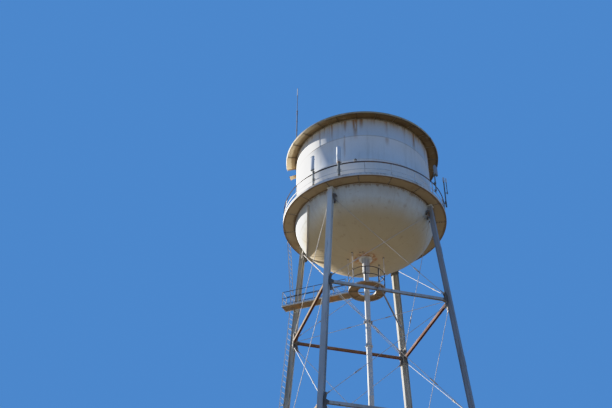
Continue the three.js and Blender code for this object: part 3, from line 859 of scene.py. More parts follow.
def buildVent():
    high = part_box("roof_vent")[1].z
    neck, cap = vent["neck"], vent["cap"]
    bm = bmesh.new()
    foot = roofTop(neck) + 0.001
    rim = roofHigh.z + vent["rim"] * (high - roofHigh.z)
    addSpin(bm, [(neck - 0.008, foot), (neck + 0.06, foot - 0.006), (neck + 0.06, foot + 0.006),
                 (neck, foot + 0.012), (neck, rim - 0.06), (neck + 0.012, rim - 0.05),
                 (neck - 0.008, rim - 0.05)], 32)
    for azimuth in spaced(vent["bars"]):
        spot = polar(neck - 0.004, azimuth, rim)
        addRod(bm, spot - up * 0.055, spot + up * 0.05, vent["bar"], 5)
    addSpin(bm, [(0, rim + 0.02), (neck, rim + 0.02), (cap - 0.03, rim), (cap - 0.012, rim - 0.03),
                 (cap, rim - 0.03), (cap - 0.008, rim + 0.025), (neck + 0.03, rim + 0.09),
                 (0.08, high - 0.012), (0, high)], 40)
    bolts = [at(polar(neck + 0.035, azimuth, foot + 0.006)) for azimuth in spaced(vent["bolts"])]
    addHeads(bm, bolts, *vent["bolt"])
    finishPiece(bm, "roof_vent_cowl", [roofPaint], "roof_paint", "roof_vent")


hatch = {
    "azimuth": 112, "radius": 3.5, "size": 0.7, "height": 0.17, "lid": 0.03, "wall": 0.012, "grip": 0.007,
}


def buildHatch():
    bm = bmesh.new()
    azimuth, lean = hatch["azimuth"], Matrix.Rotation(math.atan(roofSlope), 4, "Y")
    turn = Matrix.Rotation(math.radians(azimuth), 4, "Z")
    place = at(roofSpot(hatch["radius"], azimuth, -0.003)) @ turn @ lean
    half, top = hatch["size"] / 2 - hatch["wall"], hatch["height"] - hatch["lid"]

    def spot(x, y, z):
        return place @ Vector((x, y, z))

    curb = rectangle(2 * half, 2 * half)
    for (ax, ay), (bx, by) in zip(curb, curb[1:] + curb[:1]):
        addBar(bm, spot(ax, ay, top / 2), spot(bx, by, top / 2), hatch["wall"], top, place.to_3x3() @ up)
    part = bmesh.new()
    lidSize = Matrix.Diagonal((hatch["size"] - 0.004, hatch["size"] - 0.004, hatch["lid"], 1))
    bmesh.ops.create_cube(part, size=1, matrix=at((0, 0, top + hatch["lid"] / 2)) @ lidSize)
    lidFaces = [face for face in part.faces if face.normal.z > 0.9]
    bmesh.ops.inset_region(part, faces=lidFaces, thickness=0.06, depth=0.0)
    bmesh.ops.inset_region(part, faces=lidFaces, thickness=0.03, depth=0.008)
    pour(bm, part, place)
    for y in (-0.2, 0.2):    # hinges, then the grip
        addRod(bm, spot(-half - 0.002, y - 0.05, top), spot(-half - 0.002, y + 0.05, top), 0.010)
    grip = [spot(half - 0.06, y, top + z)
            for y, z in ((-0.08, 0.03), (-0.08, 0.075), (0.08, 0.075), (0.08, 0.03))]
    for start, end in zip(grip, grip[1:]):
        addRod(bm, start, end, hatch["grip"], 6)
    finishPiece(bm, "roof_hatch_cover", [roofPaint], "roof_paint", "roof_hatch")


buildShell()
print("shell is built")
buildBowl()
buildConduit()
print("bowl is built")
buildRoof()
buildVent()
buildHatch()
print("roof is built")

# Balcony: ring deck in 16 plates, fascia, and a rail of angles on 20 posts
deck = {
    "plate": 0.025, "fasciaWall": 0.014, "plates": 16, "strapWidth": 0.07, "innerAngle": 0.06,
    "angleWall": 0.007, "rivets": 120, "rivet": (0.011, 0.007),
    "strapRivets": 6, "strapRivet": (0.012, 0.008),
}
deckPaint = paintOf("deckPaint", (0.74, 0.725, 0.68), (0.42, 0.38, 0.31), "orange", 0.45, 0.22, 0.35, [
    (underLayer(0.97, -0.4, -0.75, 0.1), (0.30, 0.215, 0.115)),
    (plateLayer(16, -90, 0.3), (0.24, 0.165, 0.085)),
    (blotchLayer(1.0, 0.5, 0.66, 0.5), (0.20, 0.125, 0.055)),
    # Dark ring under the deck's inner edge: painted shadow line where the deck meets the bowl
    (ringLayer(3.7, 3.92, 0.75, 0.05), (0.10, 0.055, 0.025)),
    (ringLayer(4.38, 4.6, 0.7, 0.04), (0.11, 0.06, 0.03)),
    (spokeLayer(16, -90, 0.055, 0.9), (0.06, 0.035, 0.016)),
    (bleedLayer(deckLow.z + 0.16, 0.2, 0.8, 0.5), (0.34, 0.22, 0.12)),
])


def buildDeck():
    bm = bmesh.new()
    inner, toe, outer = tankRadius + 0.0004, deckRadius - deck["fasciaWall"], deckRadius
    low, floor, top = deckLow.z, deckLow.z + deck["plate"], deckHigh.z
    # Floor, rim angle under its edge, stiffening lip of the toe, fascia, and curb angle at the shell
    addRing(bm, inner, toe - 0.01, low + 0.008, floor)
    addRing(bm, toe - 0.07, toe + 0.004, low + 0.0005, low + 0.008)
    addRing(bm, toe - 0.012, toe + 0.004, top - 0.012, top - 0.001)
    addSpin(bm, [(toe + 0.004, low), (outer - 0.002, low), (outer, low + 0.004), (outer, top - 0.004),
                 (outer - 0.002, top), (toe + 0.004, top)])
    seat, wall = deck["innerAngle"], deck["angleWall"]
    curb = [(0, 0), (seat, 0), (seat, wall), (wall, wall), (wall, seat), (0, seat)]
    addSpin(bm, curb, base=(inner, floor))
    places = []
    for azimuth in spaced(deck["plates"], -90):
        addBar(bm, polar(inner + 0.005, azimuth, low + 0.006), polar(toe - 0.068, azimuth, low + 0.006),
               deck["strapWidth"], 0.011)
        for aside in (-0.022, 0.022):
            for j in range(deck["strapRivets"]):
                spot = polar(inner + 0.05 + 0.1 * j, azimuth, low + 0.0022) + polar(aside, azimuth + 90)
                places.append(at(spot) @ upsideDown)
    addHeads(bm, places, *deck["strapRivet"])
    rivets = [facing(polar(outer - 0.007, azimuth, low + 0.04), polar(1, azimuth))    # the fascia's foot
              for azimuth in spaced(deck["rivets"], 1.5)]
    addHeads(bm, rivets, *deck["rivet"])
    finishPiece(bm, "balcony_deck", [deckPaint], "balcony_paint", "balcony_floor")


rail = {
    "bar": 0.05, "wall": 0.008, "post": 0.042, "postWall": 0.007, "posts": 20, "inset": 0.005,
    "mid": 0.45, "top": 0.955, "topDrop": 0.088, "shadedPost": 16, "splices": 5, "footPlate": (0.11, 0.06),
    "nut": (0.013, 0.010), "spliceTurn": 1.6, "splice": (0.006, 0.034),
}
railOuter = deckRadius - deck["fasciaWall"] - rail["inset"]
railPaint = paintOf("railPaint", (0.17, 0.125, 0.11), (0.07, 0.05, 0.045), "brown", 0.6, 0.5, 0.4, [
    (blotchLayer(0.7, 0.52, 0.6, 0.5), (0.30, 0.14, 0.06)),
    # Near-black on the sunlit left: painted shade, so the rail reads dark in front of the bright shell
    (fallLayer(0, -3.0, -1.2, 0.9), (0.02, 0.014, 0.010)),
], gloss=0.04)


def buildRail():
    bm = bmesh.new()
    wall, bar, drop = rail["wall"], rail["bar"], rail["topDrop"]
    head, mid = balconyLevel + rail["top"], balconyLevel + rail["mid"]
    # Top and middle rail: angles with the flat on top and the leg outside
    addSpin(bm, [(-bar, -wall), (-wall, -wall), (-wall, -drop), (0, -drop), (0, -0.003), (-0.003, 0),
                 (-bar, 0)], base=(railOuter, head))
    addSpin(bm, [(0.016 - bar, -wall), (-wall, -wall), (-wall, -bar), (0, -bar), (0, 0), (0.016 - bar, 0)],
            material=1, base=(railOuter, mid))
    nuts = []
    floor = deckLow.z + deck["plate"]
    middle = railOuter - wall - rail["post"] / 2 - 0.0005
    post = [(-x, -y) for x, y in angleOutline(rail["post"], rail["post"], rail["postWall"])]
    for i, azimuth in enumerate(spaced(rail["posts"], -90)):
        out = polar(1, azimuth)
        foot, top = polar(middle, azimuth, floor), polar(middle, azimuth, head - wall - 0.0005)
        # The shaded post takes the dark rail paint, painted shade on the sunlit left; the rest are white
        addSection(bm, post, foot + up * 0.0003, top, out, 0 if i == rail["shadedPost"] else 1)
        # Foot plate welded to the post, bolted down to the deck and through the fascia
        addBar(bm, foot, foot + up * 0.008, *rail["footPlate"], out, 1)
        nuts += [at(foot + up * 0.008 + polar(aside, azimuth + 90)) for aside in (-0.04, 0.04)]
        for z in (head - 0.028, mid - 0.028, deckLow.z + 0.07, deckLow.z + 0.12):
            spot = polar(railOuter - (0.001 if z > deckHigh.z else wall), azimuth, z)
            nuts.append(facing(spot, -out) @ at((0.01, 0, wall)))
    addHeads(bm, nuts, *rail["nut"])
    # Splice plates where the rail's lengths meet, midway between posts
    for azimuth in spaced(rail["splices"], -81):
        for z in (head - 0.03, mid - 0.03):
            start, end = [polar(railOuter - wall - 0.004, azimuth + turn, z)
                          for turn in (-rail["spliceTurn"], rail["spliceTurn"])]
            addBar(bm, start, end, *rail["splice"])
    finishPiece(bm, "balcony_rails", [railPaint, whitePaint], "rail_paint", "balcony_railing")


buildDeck()
buildRail()
print("balcony is built")


# Legs: two channels with an outer cover plate, laced on the side that faces the riser
leg = {
    "width": 0.26, "depth": 0.23, "plate": 0.012, "web": 0.07, "webWall": 0.010, "rivetStep": 0.16,
    "rivetAside": 0.102, "firstRivet": 0.3, "rivet": (0.014, 0.009), "laceStep": 0.34, "laceWidth": 0.05,
    "laceAside": 0.1, "firstLace": 0.55, "battenHalf": 0.2, "spliceHalf": 0.3,
    "splices": (27.0, 20.6, 14.2, 5.2),
    "basePlate": 0.56, "baseThickness": 0.03, "bolts": 0.215, "foot": 0.3503,
}
legRuns = [(blotchLayer(1.2, 0.52, 0.66, 0.4, 0.65, (2.2, 2.2, 0.25)), (0.17, 0.125, 0.085))]
legPaint = paintOf("legPaint", (0.68, 0.68, 0.64), (0.33, 0.31, 0.26), "brown", 0.5, 0.28, 0.35,
                   [*legRuns, (fallLayer(2, 19.5, 26.5, 0.55), (0.23, 0.245, 0.27))])
# The front right leg is painted a much darker grey: painted shade
shadedRightLegPaint = paintOf("shadedRightLegPaint", (0.31, 0.32, 0.33), (0.19, 0.18, 0.165), "brown", 0.5, 0.28, 0.35,
                        legRuns)
backLegPaint = paintOf("backLegPaint", (0.50, 0.465, 0.38), (0.24, 0.20, 0.14), "brown", 0.55, 0.35, 0.35,
                       legRuns)


def buildLegs():
    out, foot, head = polar(1, legAzimuth(0)), leg["foot"], balconyLevel - 0.0004
    low, high = legPoint(0, foot + 0.02), legPoint(0, head + 0.2)
    halfWidth, halfDepth, aside = leg["width"] / 2, leg["depth"] / 2, leg["rivetAside"]
    plate, web, inside = leg["plate"], leg["web"], leg["web"] - leg["webWall"]
    # Channels, toes outwards, then the cover plate on their outer flanges and a diaphragm
    channel = [(inside, -halfDepth), (halfWidth, -halfDepth), (halfWidth, 0.7 * plate - halfDepth),
               (web, plate - halfDepth), (web, halfDepth - 2 * plate), (halfWidth, halfDepth - 1.7 * plate),
               (halfWidth, halfDepth - plate), (inside, halfDepth - plate)]
    cover, diaphragm = [rectangle(*sizes) for sizes in (
        (leg["width"], plate, halfDepth - plate / 2), (2 * inside, 0.008, 0.032 - halfDepth))]
    column = bmesh.new()
    for outline in (channel, [(-x, y) for x, y in channel], cover, diaphragm):
        addSection(column, outline, low, high, out)
    # The column stops under the balcony and at the base plate
    for z, normal in ((head, (0, 0, 1)), (foot + 0.02, (0, 0, -1))):
        geometry = [*column.verts, *column.edges, *column.faces]
        cut = bmesh.ops.bisect_plane(column, geom=geometry, plane_co=(0, 0, z), plane_no=normal,
                                     clear_outer=True)
        edges = [item for item in cut["geom_cut"] if isinstance(item, bmesh.types.BMEdge)]
        bmesh.ops.holes_fill(column, edges=edges, sides=0)
    bm = bmesh.new()
    pour(bm, column)
    start, end = legPoint(0, foot), legPoint(0, head)
    frameOfLeg, length = along(start, end, out), (end - start).length
    outwards = frameOfLeg.to_3x3() @ Vector((0, 1, 0))
    rivets = []

    def onLeg(x, y, distance):
        return frameOfLeg @ Vector((x, y, distance))

    def addRivet(x, y, distance):    # on the outer face where y is positive, else on the inner one
        rivets.append(facing(onLeg(x, y, distance), outwards if y > 0 else -outwards))

    def addStrap(x, y, middle, half, width, thickness=0.010):
        addBar(lacing, onLeg(x, y, middle - half), onLeg(x, y, middle + half), width, thickness, outwards)

    for i in range(int((length - 0.8) / leg["rivetStep"])):
        for x in (-aside, aside):
            addRivet(x, halfDepth, leg["firstRivet"] + i * leg["rivetStep"])
    # Single lacing on the inner flanges, with a rivet at each end
    lacing = bmesh.new()
    for i in range(int((length - 1.6) / leg["laceStep"])):
        near, x, y = leg["firstLace"] + i * leg["laceStep"], leg["laceAside"], -halfDepth - 0.005
        x, far = x if i % 2 else -x, near + leg["laceStep"]
        addBar(lacing, onLeg(x, y, near), onLeg(-x, y, far), leg["laceWidth"], 0.008, outwards)
        addRivet(x, y - 0.003, near)
    # Batten plates at the foot, the head and by each strut, and splices through the channels
    for middle in [0.35, length - 0.45] + [(legPoint(0, z) - start).length for z in strutLevels]:
        addStrap(0, -halfDepth - 0.011, middle, leg["battenHalf"], leg["width"] - 0.01)
        for x in (-aside, aside):
            for step in (-0.15, -0.05, 0.05, 0.15):
                addRivet(x, -halfDepth - 0.015, middle + step)
    for z in leg["splices"]:
        middle = (legPoint(0, z) - start).length
        addStrap(0, halfDepth + 0.005, middle, leg["spliceHalf"], leg["width"] - 0.004)
        for x in (-aside, -0.035, 0.035, aside):
            for j in range(8):
                addRivet(x, halfDepth + 0.009, middle - 0.26 + 0.074 * j)
        for x in (-web - 0.005, web + 0.005):
            addStrap(x, -0.005, middle, 0.25, 0.010, 0.16)
    # Base plate with wing plates and four anchor bolts
    thick, reach, tangent = leg["baseThickness"], leg["bolts"], polar(1, legAzimuth(0) + 90)
    addBar(lacing, start, start + up * thick, leg["basePlate"], leg["basePlate"], out, 0, 0.003)
    wing = [(0, 0), (0.16, 0), (0.16, 0.03), (0.02, 0.28), (0, 0.28)]
    for way in (-tangent, tangent):
        for shift in (-0.081, 0.069):
            corner = start + up * thick + out * shift + way * 0.125
            addPlate(lacing, wing, axesAt(corner, way, up, way.cross(up)), 0.012)
        for bolt in (start + (way - out) * reach, start + (way + out) * reach):
            for z, top, radius, sides in ((0, 0.11, 0.013, 8), (thick, thick + 0.008, 0.036, 12),
                                          (thick + 0.008, thick + 0.036, 0.025, 6)):
                addRod(lacing, bolt + up * z, bolt + up * top, radius, sides)
    pour(bm, lacing)
    addHeads(bm, rivets, *leg["rivet"])
    finishTurned(bm, "column_%s", legNames, [legPaint], "leg_paint", "leg_%s",
                 (legPaint, shadedRightLegPaint, backLegPaint, backLegPaint))


# Leg heads: paired plates between each leg and the bowl, with bolts, and a capping plate
headPlate = {
    "offset": 0.088, "wall": 0.012, "depth": 0.62, "slant": 0.55, "steps": 9, "drop": 0.03,
    "bolts": 5, "boltStep": 0.17, "bolt": (0.017, 0.012), "cap": (0.34, 0.016),
}


def buildLegHeads():
    bm = bmesh.new()
    azimuth, wall, depth, drop = legAzimuth(0), headPlate["wall"], headPlate["depth"], headPlate["drop"]
    out, tangent = polar(1, azimuth), polar(1, azimuth + 90)
    outline = [(bowlRadius(z) + 0.002, balconyLevel - z) for z in between(drop, depth, headPlate["steps"])]
    outline += [(legRadius(balconyLevel - z) - 0.09, balconyLevel - z)
                for z in (depth + headPlate["slant"], drop)]
    places = []
    for side in (-1, 1):
        origin = tangent * (side * headPlate["offset"] - wall / 2)
        addPlate(bm, outline, axesAt(origin, out, up, tangent), wall)
        for i in range(headPlate["bolts"]):
            z = balconyLevel - 0.14 - headPlate["boltStep"] * i
            spot = polar(legRadius(z) - 0.045, azimuth, z) + tangent * side * (headPlate["offset"] + wall / 2)
            places.append(facing(spot, tangent * side))
    addHeads(bm, places, *headPlate["bolt"])
    z = balconyLevel - drop
    inner, outer = polar(legRadius(z) - 0.19, azimuth, z), polar(legRadius(z) + 0.17, azimuth, z)
    addBar(bm, inner, outer, *headPlate["cap"])
    finishTurned(bm, "leg_head_%s", legNames, [legPaint], "leg_paint")


# Flat trunking strapped beside the back right leg
trunking = {
    "outline": ((-0.158, -0.030), (-0.280, 0.0145), (-0.268, 0.047), (-0.146, 0.0025)),
    "middle": (-0.213, 0.0085), "sleeve": 1.09, "sleeveLength": 0.08, "foot": 1.2, "drop": 0.06,
    "strapStep": 2.4, "firstStrap": 0.4, "screw": (0.010, 0.009),
    "screws": ((-0.190, -0.0183), (-0.250, 0.0036)), "screwWay": (-0.342, -0.940, 0),
}
trunkingPaint = paintOf("trunkingPaint", (0.74, 0.71, 0.63), (0.44, 0.40, 0.33), "orange", 0.4, 0.2, 0.3)


def buildTrunking():
    bm = bmesh.new()
    out = polar(1, legAzimuth(2))
    low, high = legPoint(2, trunking["foot"]), legPoint(2, balconyLevel - trunking["drop"])
    place = along(low, high, out)
    turn = place.to_3x3()
    length, middle = (high - low).length, Vector(trunking["middle"])
    addPlate(bm, trunking["outline"], place, length)
    sleeve = [middle + (Vector(corner) - middle) * trunking["sleeve"] for corner in trunking["outline"]]
    screws = []
    for i in range(int(length / trunking["strapStep"])):
        distance = trunking["firstStrap"] + i * trunking["strapStep"]
        near, far = place @ Vector((-0.075, 0.0, distance)), place @ Vector((-0.20, 0.012, distance))
        addBar(bm, near, far, 0.05, 0.008, turn @ Vector((0, 1, 0)))
        for x, y in trunking["screws"]:
            screws.append(facing(place @ Vector((x, y, distance)), turn @ Vector(trunking["screwWay"])))
        addPlate(bm, sleeve, place @ at((0, 0, distance + 1.0)), trunking["sleeveLength"])
    addHeads(bm, screws, *trunking["screw"])
    finishPiece(bm, "leg_trunking", [trunkingPaint], "leg_paint")


# Piers: battered concrete blocks with chamfered edges
pier = {"top": 0.75, "foot": 1.1, "height": 0.35, "chamfer": 0.02, "riserFoot": 0.62, "riserTop": 0.50}
concretePaint = paintOf("concrete", (0.44, 0.42, 0.38), (0.20, 0.18, 0.15), "brown", 0.7, 0.12, 0.8,
                        [(blotchLayer(3.0, 0.5, 0.7, 0.4), (0.29, 0.27, 0.24))], grain=2.0)


def addBlock(bm, sides, lowRadius, highRadius, height, centre, turn):
    part = bmesh.new()
    standCone(part, sides, lowRadius, highRadius, height)
    upper = [edge for edge in part.edges if max(vert.co.z for vert in edge.verts) > height / 2]
    bevelEdges(part, upper, pier["chamfer"])
    pour(bm, part, at(centre) @ Matrix.Rotation(math.radians(turn), 4, "Z"))


def buildPiers():
    bm = bmesh.new()
    centre = polar(legRadius(leg["foot"]), legAzimuth(0))
    addBlock(bm, 4, pier["foot"] / math.sqrt(2), pier["top"] / math.sqrt(2), pier["height"], centre, 90)
    finishTurned(bm, "pier_block_%s", legNames, [concretePaint], "concrete", "pier_%s")
    bm = bmesh.new()
    addBlock(bm, 8, pier["riserFoot"], pier["riserTop"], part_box("riser_pier")[1].z, (0, 0, 0), 22.5)
    finishPiece(bm, "riser_footing", [concretePaint], "concrete", "riser_pier")


buildLegs()
buildLegHeads()
buildPiers()
print("legs and piers are built")


# Struts: an inverted trough of two channels and a top plate, laced across below
strut = {
    "width": 0.12, "depth": 0.14, "wall": 0.010, "lip": 0.028, "endGap": 0.178,
    "laceStep": 0.16, "laceInset": 0.018, "lace": (0.03, 0.006), "rivetStep": 0.25, "rivet": (0.012, 0.008),
}
strutPaint = paintOf("strutPaint", (0.52, 0.51, 0.48), (0.27, 0.23, 0.18), "deep", 0.6, 0.42, 0.4, [
    (underLayer(0.8, -0.3, -0.7, 0.4), (0.10, 0.075, 0.06)),
    (blotchLayer(0.9, 0.52, 0.62, 0.35), (0.17, 0.13, 0.10)),
])


# Rusted struts, with a pale band along the top edge: paint left there, and a painted highlight of the sunlit
# edge
def rustyStrut(name, tone, edgeHalf):
    red, green, blue = tone
    layers = [(blotchLayer(1.4, 0.52, 0.62, 0.4, 0.65, (1, 1, 2.5)), (red * 1.5, green * 1.6, blue * 1.7))]
    layers += [(lineLayer(level + 0.075, edgeHalf, 0.8), (0.62, 0.58, 0.52)) for level in strutLevels]
    layers.append((underLayer(0.9, -0.3, -0.7, 0.2), (0.16, 0.055, 0.028)))
    dirtTone = (red * 0.6, green * 0.6, blue * 0.6)
    return paintOf(name, tone, dirtTone, "deep", 0.5, 0.5, 0.5, layers, gloss=0.05)


sidePaints = (
    strutPaint,
    rustyStrut("strutPaintRight", (0.10, 0.04, 0.022), 0.013),
    rustyStrut("strutPaintBack", (0.25, 0.125, 0.065), 0.02),
    rustyStrut("strutPaintLeft", (0.17, 0.115, 0.065), 0.012),
)


def buildStruts():
    half, tall, wall, lip = strut["width"] / 2, strut["depth"] / 2, strut["wall"], strut["lip"]
    channel = [(half - wall, tall - wall), (half - wall, wall - tall), (half - lip, 0.7 * wall - tall),
               (half - lip, -tall), (half, -tall), (half, tall)]
    outline = channel + [(-x, y) for x, y in reversed(channel)]
    for i, level in enumerate(strutLevels):
        first, last = legPoint(0, level), legPoint(1, level)
        direction = (last - first).normalized()
        start, end = first + direction * strut["endGap"], last - direction * strut["endGap"]
        outer, length = direction.cross(up), (end - start).length

        def spot(reach, aside, height):
            return start + direction * reach + outer * aside + up * height

        bm = bmesh.new()
        addSection(bm, outline, start, end)
        # Lacing, and tie plates at both ends of it
        count, low = int(length / strut["laceStep"]), 0.004 - tall
        step, reach = length / count, half - strut["laceInset"]
        for j in range(count):
            aside, near, far = reach if j % 2 else -reach, j * step, (j + 1) * step
            addBar(bm, spot(near + 0.01, aside, low), spot(far - 0.01, -aside, low), *strut["lace"])
        for near, far in ((0.01, 0.27), (length - 0.27, length - 0.01)):
            addBar(bm, spot(near, 0, low), spot(far, 0, low), strut["width"] - 0.004, 0.007)
        rows = int(length / strut["rivetStep"])
        places = [facing(spot((j + 0.5) * length / rows, side * half, tall - 0.03), outer * side)
                  for j in range(rows) for side in (-1, 1)]
        addHeads(bm, places, *strut["rivet"])
        ends = ["%s_%d" % (name, i + 1) for name in sideNames]
        finishTurned(bm, "girt_%s", ends, [strutPaint], "strut_paint", "strut_%s", sidePaints)


# Joint plates: paired gussets between leg and strut, with ears for the pins of the tie rods
joint = {"gap": 0.062, "wall": 0.010, "near": 0.10, "rivet": (0.014, 0.010)}
jointPaint = paintOf("jointPaint", (0.155, 0.135, 0.115), (0.07, 0.055, 0.045), "brown", 0.6, 0.5, 0.4)
rods = {
    "radius": 0.016, "thinRadius": 0.0125, "headLevel": 29.5, "footLevel": 0.72, "offset": 0.17,
    "pinAt": 0.315, "pin": 0.019, "pinHalf": 0.078, "aside": 0.019, "clevis": 0.17, "fork": 0.021,
    "buckleAt": 0.24, "buckleLength": 0.30, "buckleRadius": 0.034,
}
rodPaint = paintOf("rodPaint", (0.60, 0.585, 0.55), (0.36, 0.32, 0.27), "orange", 0.4, 0.25, 0.3)
shadedRodPaint = paintOf("shadedRodPaint", (0.50, 0.46, 0.40), (0.30, 0.25, 0.20), "orange", 0.4, 0.3, 0.3)
fittingPaint = paintOf("fittingPaint", (0.42, 0.38, 0.33), (0.20, 0.16, 0.12), "orange", 0.5, 0.5, 0.4)
rodHeads = [rods["headLevel"]] + [level - rods["offset"] for level in strutLevels]
rodFeet = [level + rods["offset"] for level in strutLevels] + [rods["footLevel"]]


# The front side at a level: its two legs, then the ways along it, up its plane and out of it
def sideFrame(level):
    first, last = legPoint(0, level), legPoint(1, level)
    alongSide = (last - first).normalized()
    rise = legPoint(0, level + 1) - first
    upSide = (rise - alongSide * rise.dot(alongSide)).normalized()
    return first, last, alongSide, upSide, alongSide.cross(upSide)


def gussetOutline(both):
    near = joint["near"]
    upper = [(0.34, 0.055), (0.21, 0.12), (0.275, 0.40), (0.24, 0.45), (0.17, 0.45), (near, 0.20)]
    if both:
        return [(x, -y) for x, y in reversed(upper)] + upper
    return [(near, -0.12), (0.26, -0.12), *upper]


# A pair of gussets at leg k on the front side, with their rivets
def addJoint(bm, places, k, level, flip, both):
    first, last, alongSide, upSide, outer = sideFrame(level)
    origin, inward, rise = (last if k else first), (-alongSide if k else alongSide), upSide * flip
    spots = [(0.13, y * 0.06) for y in range(-3 if both else -1, 4)]
    if both:
        spots += [(0.20 + 0.05 * j, y) for j in range(3) for y in (-0.032, 0.032)]
    for way in (-outer, outer):
        face = origin + way * joint["gap"]
        addPlate(bm, gussetOutline(both), axesAt(face, inward, rise, way), joint["wall"])
        places += [facing(face + inward * x + rise * y + way * joint["wall"], way) for x, y in spots]


def buildJoints():
    levels = [rods["headLevel"], *strutLevels, rods["footLevel"]]
    for i, name in enumerate(("top", "upper", "middle", "lower", "base")):
        bm = bmesh.new()
        places = []
        for k in (0, 1):
            addJoint(bm, places, k, levels[i], 1 if i else -1, 0 < i < 4)
        addHeads(bm, places, *joint["rivet"])
        finishTurned(bm, "gussets_" + name + "_%s", sideNames, [jointPaint], "strut_paint")


# The two rods of panel i on the front side, from head pin to foot pin
def rodEnds(i):
    ends = []
    for k in (0, 1):
        top, bottom = legPoint(k, rodHeads[i]), legPoint(1 - k, rodFeet[i])
        run = (bottom - top).normalized()
        ends.append((top + run * rods["pinAt"], bottom - run * rods["pinAt"]))
    return ends


# One rod, a clevis and pin at each end and a turnbuckle near its foot
def addTieRod(bm, top, bottom, outer, aside, radius):
    run = (bottom - top).normalized()
    start, end = top + outer * aside, bottom + outer * aside
    clevis, pin = rods["clevis"], outer * rods["pinHalf"]
    for middle, spot, way in ((top, start, run), (bottom, end, -run)):
        addRod(bm, middle - pin, middle + pin, rods["pin"], 8, 1)
        addRod(bm, spot + way * (clevis - 0.02), spot + way * (clevis + 0.07), 0.030, 8, 1, 0.019)
        for side in (-outer, outer):
            fork = side * rods["fork"]
            addRod(bm, middle + side * 0.073, middle + side * 0.093, 0.032, 6, 1)
            addBar(bm, spot - way * 0.035 + fork, spot + way * clevis + fork * 0.55, 0.052, 0.011, outer, 1)
    addRod(bm, start + run * clevis, end - run * clevis, radius, 10)
    # Turnbuckle: two bars between threaded end blocks, with lock nuts
    middle, half = end + (start - end) * rods["buckleAt"], rods["buckleLength"] / 2
    wide, across = rods["buckleRadius"], run.cross(outer)
    for side in (-1, 1):
        bar, way = middle + across * side * (wide - 0.006), run * side
        block = middle + way * half
        addBar(bm, bar - run * half, bar + run * half, 0.026, 0.012, across, 1, 0.003)
        addRod(bm, block - way * 0.03, block + way * 0.035, wide, 10, 1, 0.024)
        addRod(bm, block + way * 0.045, block + way * 0.07, 0.028, 6, 1)


def panelRods(i, radius):
    bm = bmesh.new()
    outer = sideFrame((rodHeads[i] + rodFeet[i]) / 2)[4]
    for aside, (top, bottom) in zip((-rods["aside"], rods["aside"]), rodEnds(i)):
        addTieRod(bm, top, bottom, outer, aside, radius)
    return bm


# The left side's rods are thicker and paler than those of the other sides, whose darker paint is painted
# shade
def buildTieRods():
    for i in range(4):
        ends = ["%s_%d" % (name, i + 1) for name in sideNames]
        finishTurned(panelRods(i, rods["thinRadius"]), "braces_%s", ends[:3], [shadedRodPaint, fittingPaint],
                     "rod_steel", "tie_rods_%s")
        finishPiece(panelRods(i, rods["radius"]), "braces_" + ends[3], [rodPaint, fittingPaint],
                    "rod_steel", "tie_rods_" + ends[3], turn=270)


# Riser: welded pipe with an expansion joint under the bowl, a bolted coupling and a flanged foot
riser = {
    "radius": 0.1365, "flange": 0.24, "flangeWall": 0.04, "jointRadius": 0.1965, "jointLow": 0.9,
    "jointHigh": 0.04, "coupling": 22.6, "firstBead": 1.2, "beadStep": 3.05, "bead": 0.006,
    "bolts": 12, "bolt": (0.016, 0.02), "glandRods": 6, "glandRod": 0.008,
    "collar": 0.15, "collarWall": 0.015, "stay": 0.013, "buckleAt": 0.22,
}
riserPaint = paintOf("riserPaint", (0.60, 0.595, 0.57), (0.34, 0.31, 0.26), "orange", 0.45, 0.22, 0.3,
                     [(blotchLayer(1.0, 0.55, 0.7, 0.45, 0.7, (3, 3, 0.3)), (0.34, 0.24, 0.15))])


def buildRiser():
    low, high = [corner.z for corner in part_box("riser_pipe")]
    radius, flange, wide = riser["radius"], riser["flange"], riser["jointRadius"]
    neck, seat, floor = high - riser["jointLow"], high - riser["jointHigh"], low + riser["flangeWall"]
    bm = bmesh.new()
    profile = [(0, low), (flange, low), (flange, floor), (radius + 0.02, floor), (radius, floor + 0.02)]
    z = low + riser["firstBead"]
    while z < neck - 0.5:
        if abs(z - riser["coupling"]) > 0.4:
            bead = radius + riser["bead"]
            profile += [(radius, z - 0.016), (bead, z - 0.006), (bead, z + 0.006), (radius, z + 0.016)]
        z += riser["beadStep"]
    profile += [(radius, neck), (radius + 0.035, neck), (radius + 0.035, neck + 0.03), (wide, neck + 0.045),
                (wide, neck + 0.10), (wide - 0.015, neck + 0.11), (wide - 0.015, high - 0.12),
                (wide, high - 0.105), (wide, seat), (flange, seat), (flange, high), (0, high)]
    addSpin(bm, profile, 32)
    # Coupling: two flanges bolted together, and a hub on each side of them
    z = riser["coupling"]
    for foot, reach, tall in ((-0.035, 0.05, 0.03), (0.005, 0.05, 0.03), (-0.18, 0.014, 0.04),
                              (0.14, 0.014, 0.04)):
        addRing(bm, radius - 0.004, radius + reach, z + foot, z + foot + tall, 32)
    places = []
    for azimuth in spaced(riser["bolts"], 15):
        places += [at(polar(reach, azimuth, level)) for reach, level in
                   ((radius + 0.033, z + 0.035), (flange - 0.04, floor))]
        places += [at(polar(reach, azimuth, level)) @ upsideDown for reach, level in
                   ((radius + 0.033, z - 0.035), (flange - 0.022, high - 0.04))]
    addHeads(bm, places, *riser["bolt"])
    # Rods that hold the expansion joint's gland
    for azimuth in spaced(riser["glandRods"]):
        addRod(bm, polar(wide + 0.012, azimuth, neck + 0.03), polar(wide + 0.012, azimuth, high - 0.02),
               riser["glandRod"], 6, 1)
    finishPiece(bm, "riser_column", [riserPaint, fittingPaint], "leg_paint", "riser_pipe")


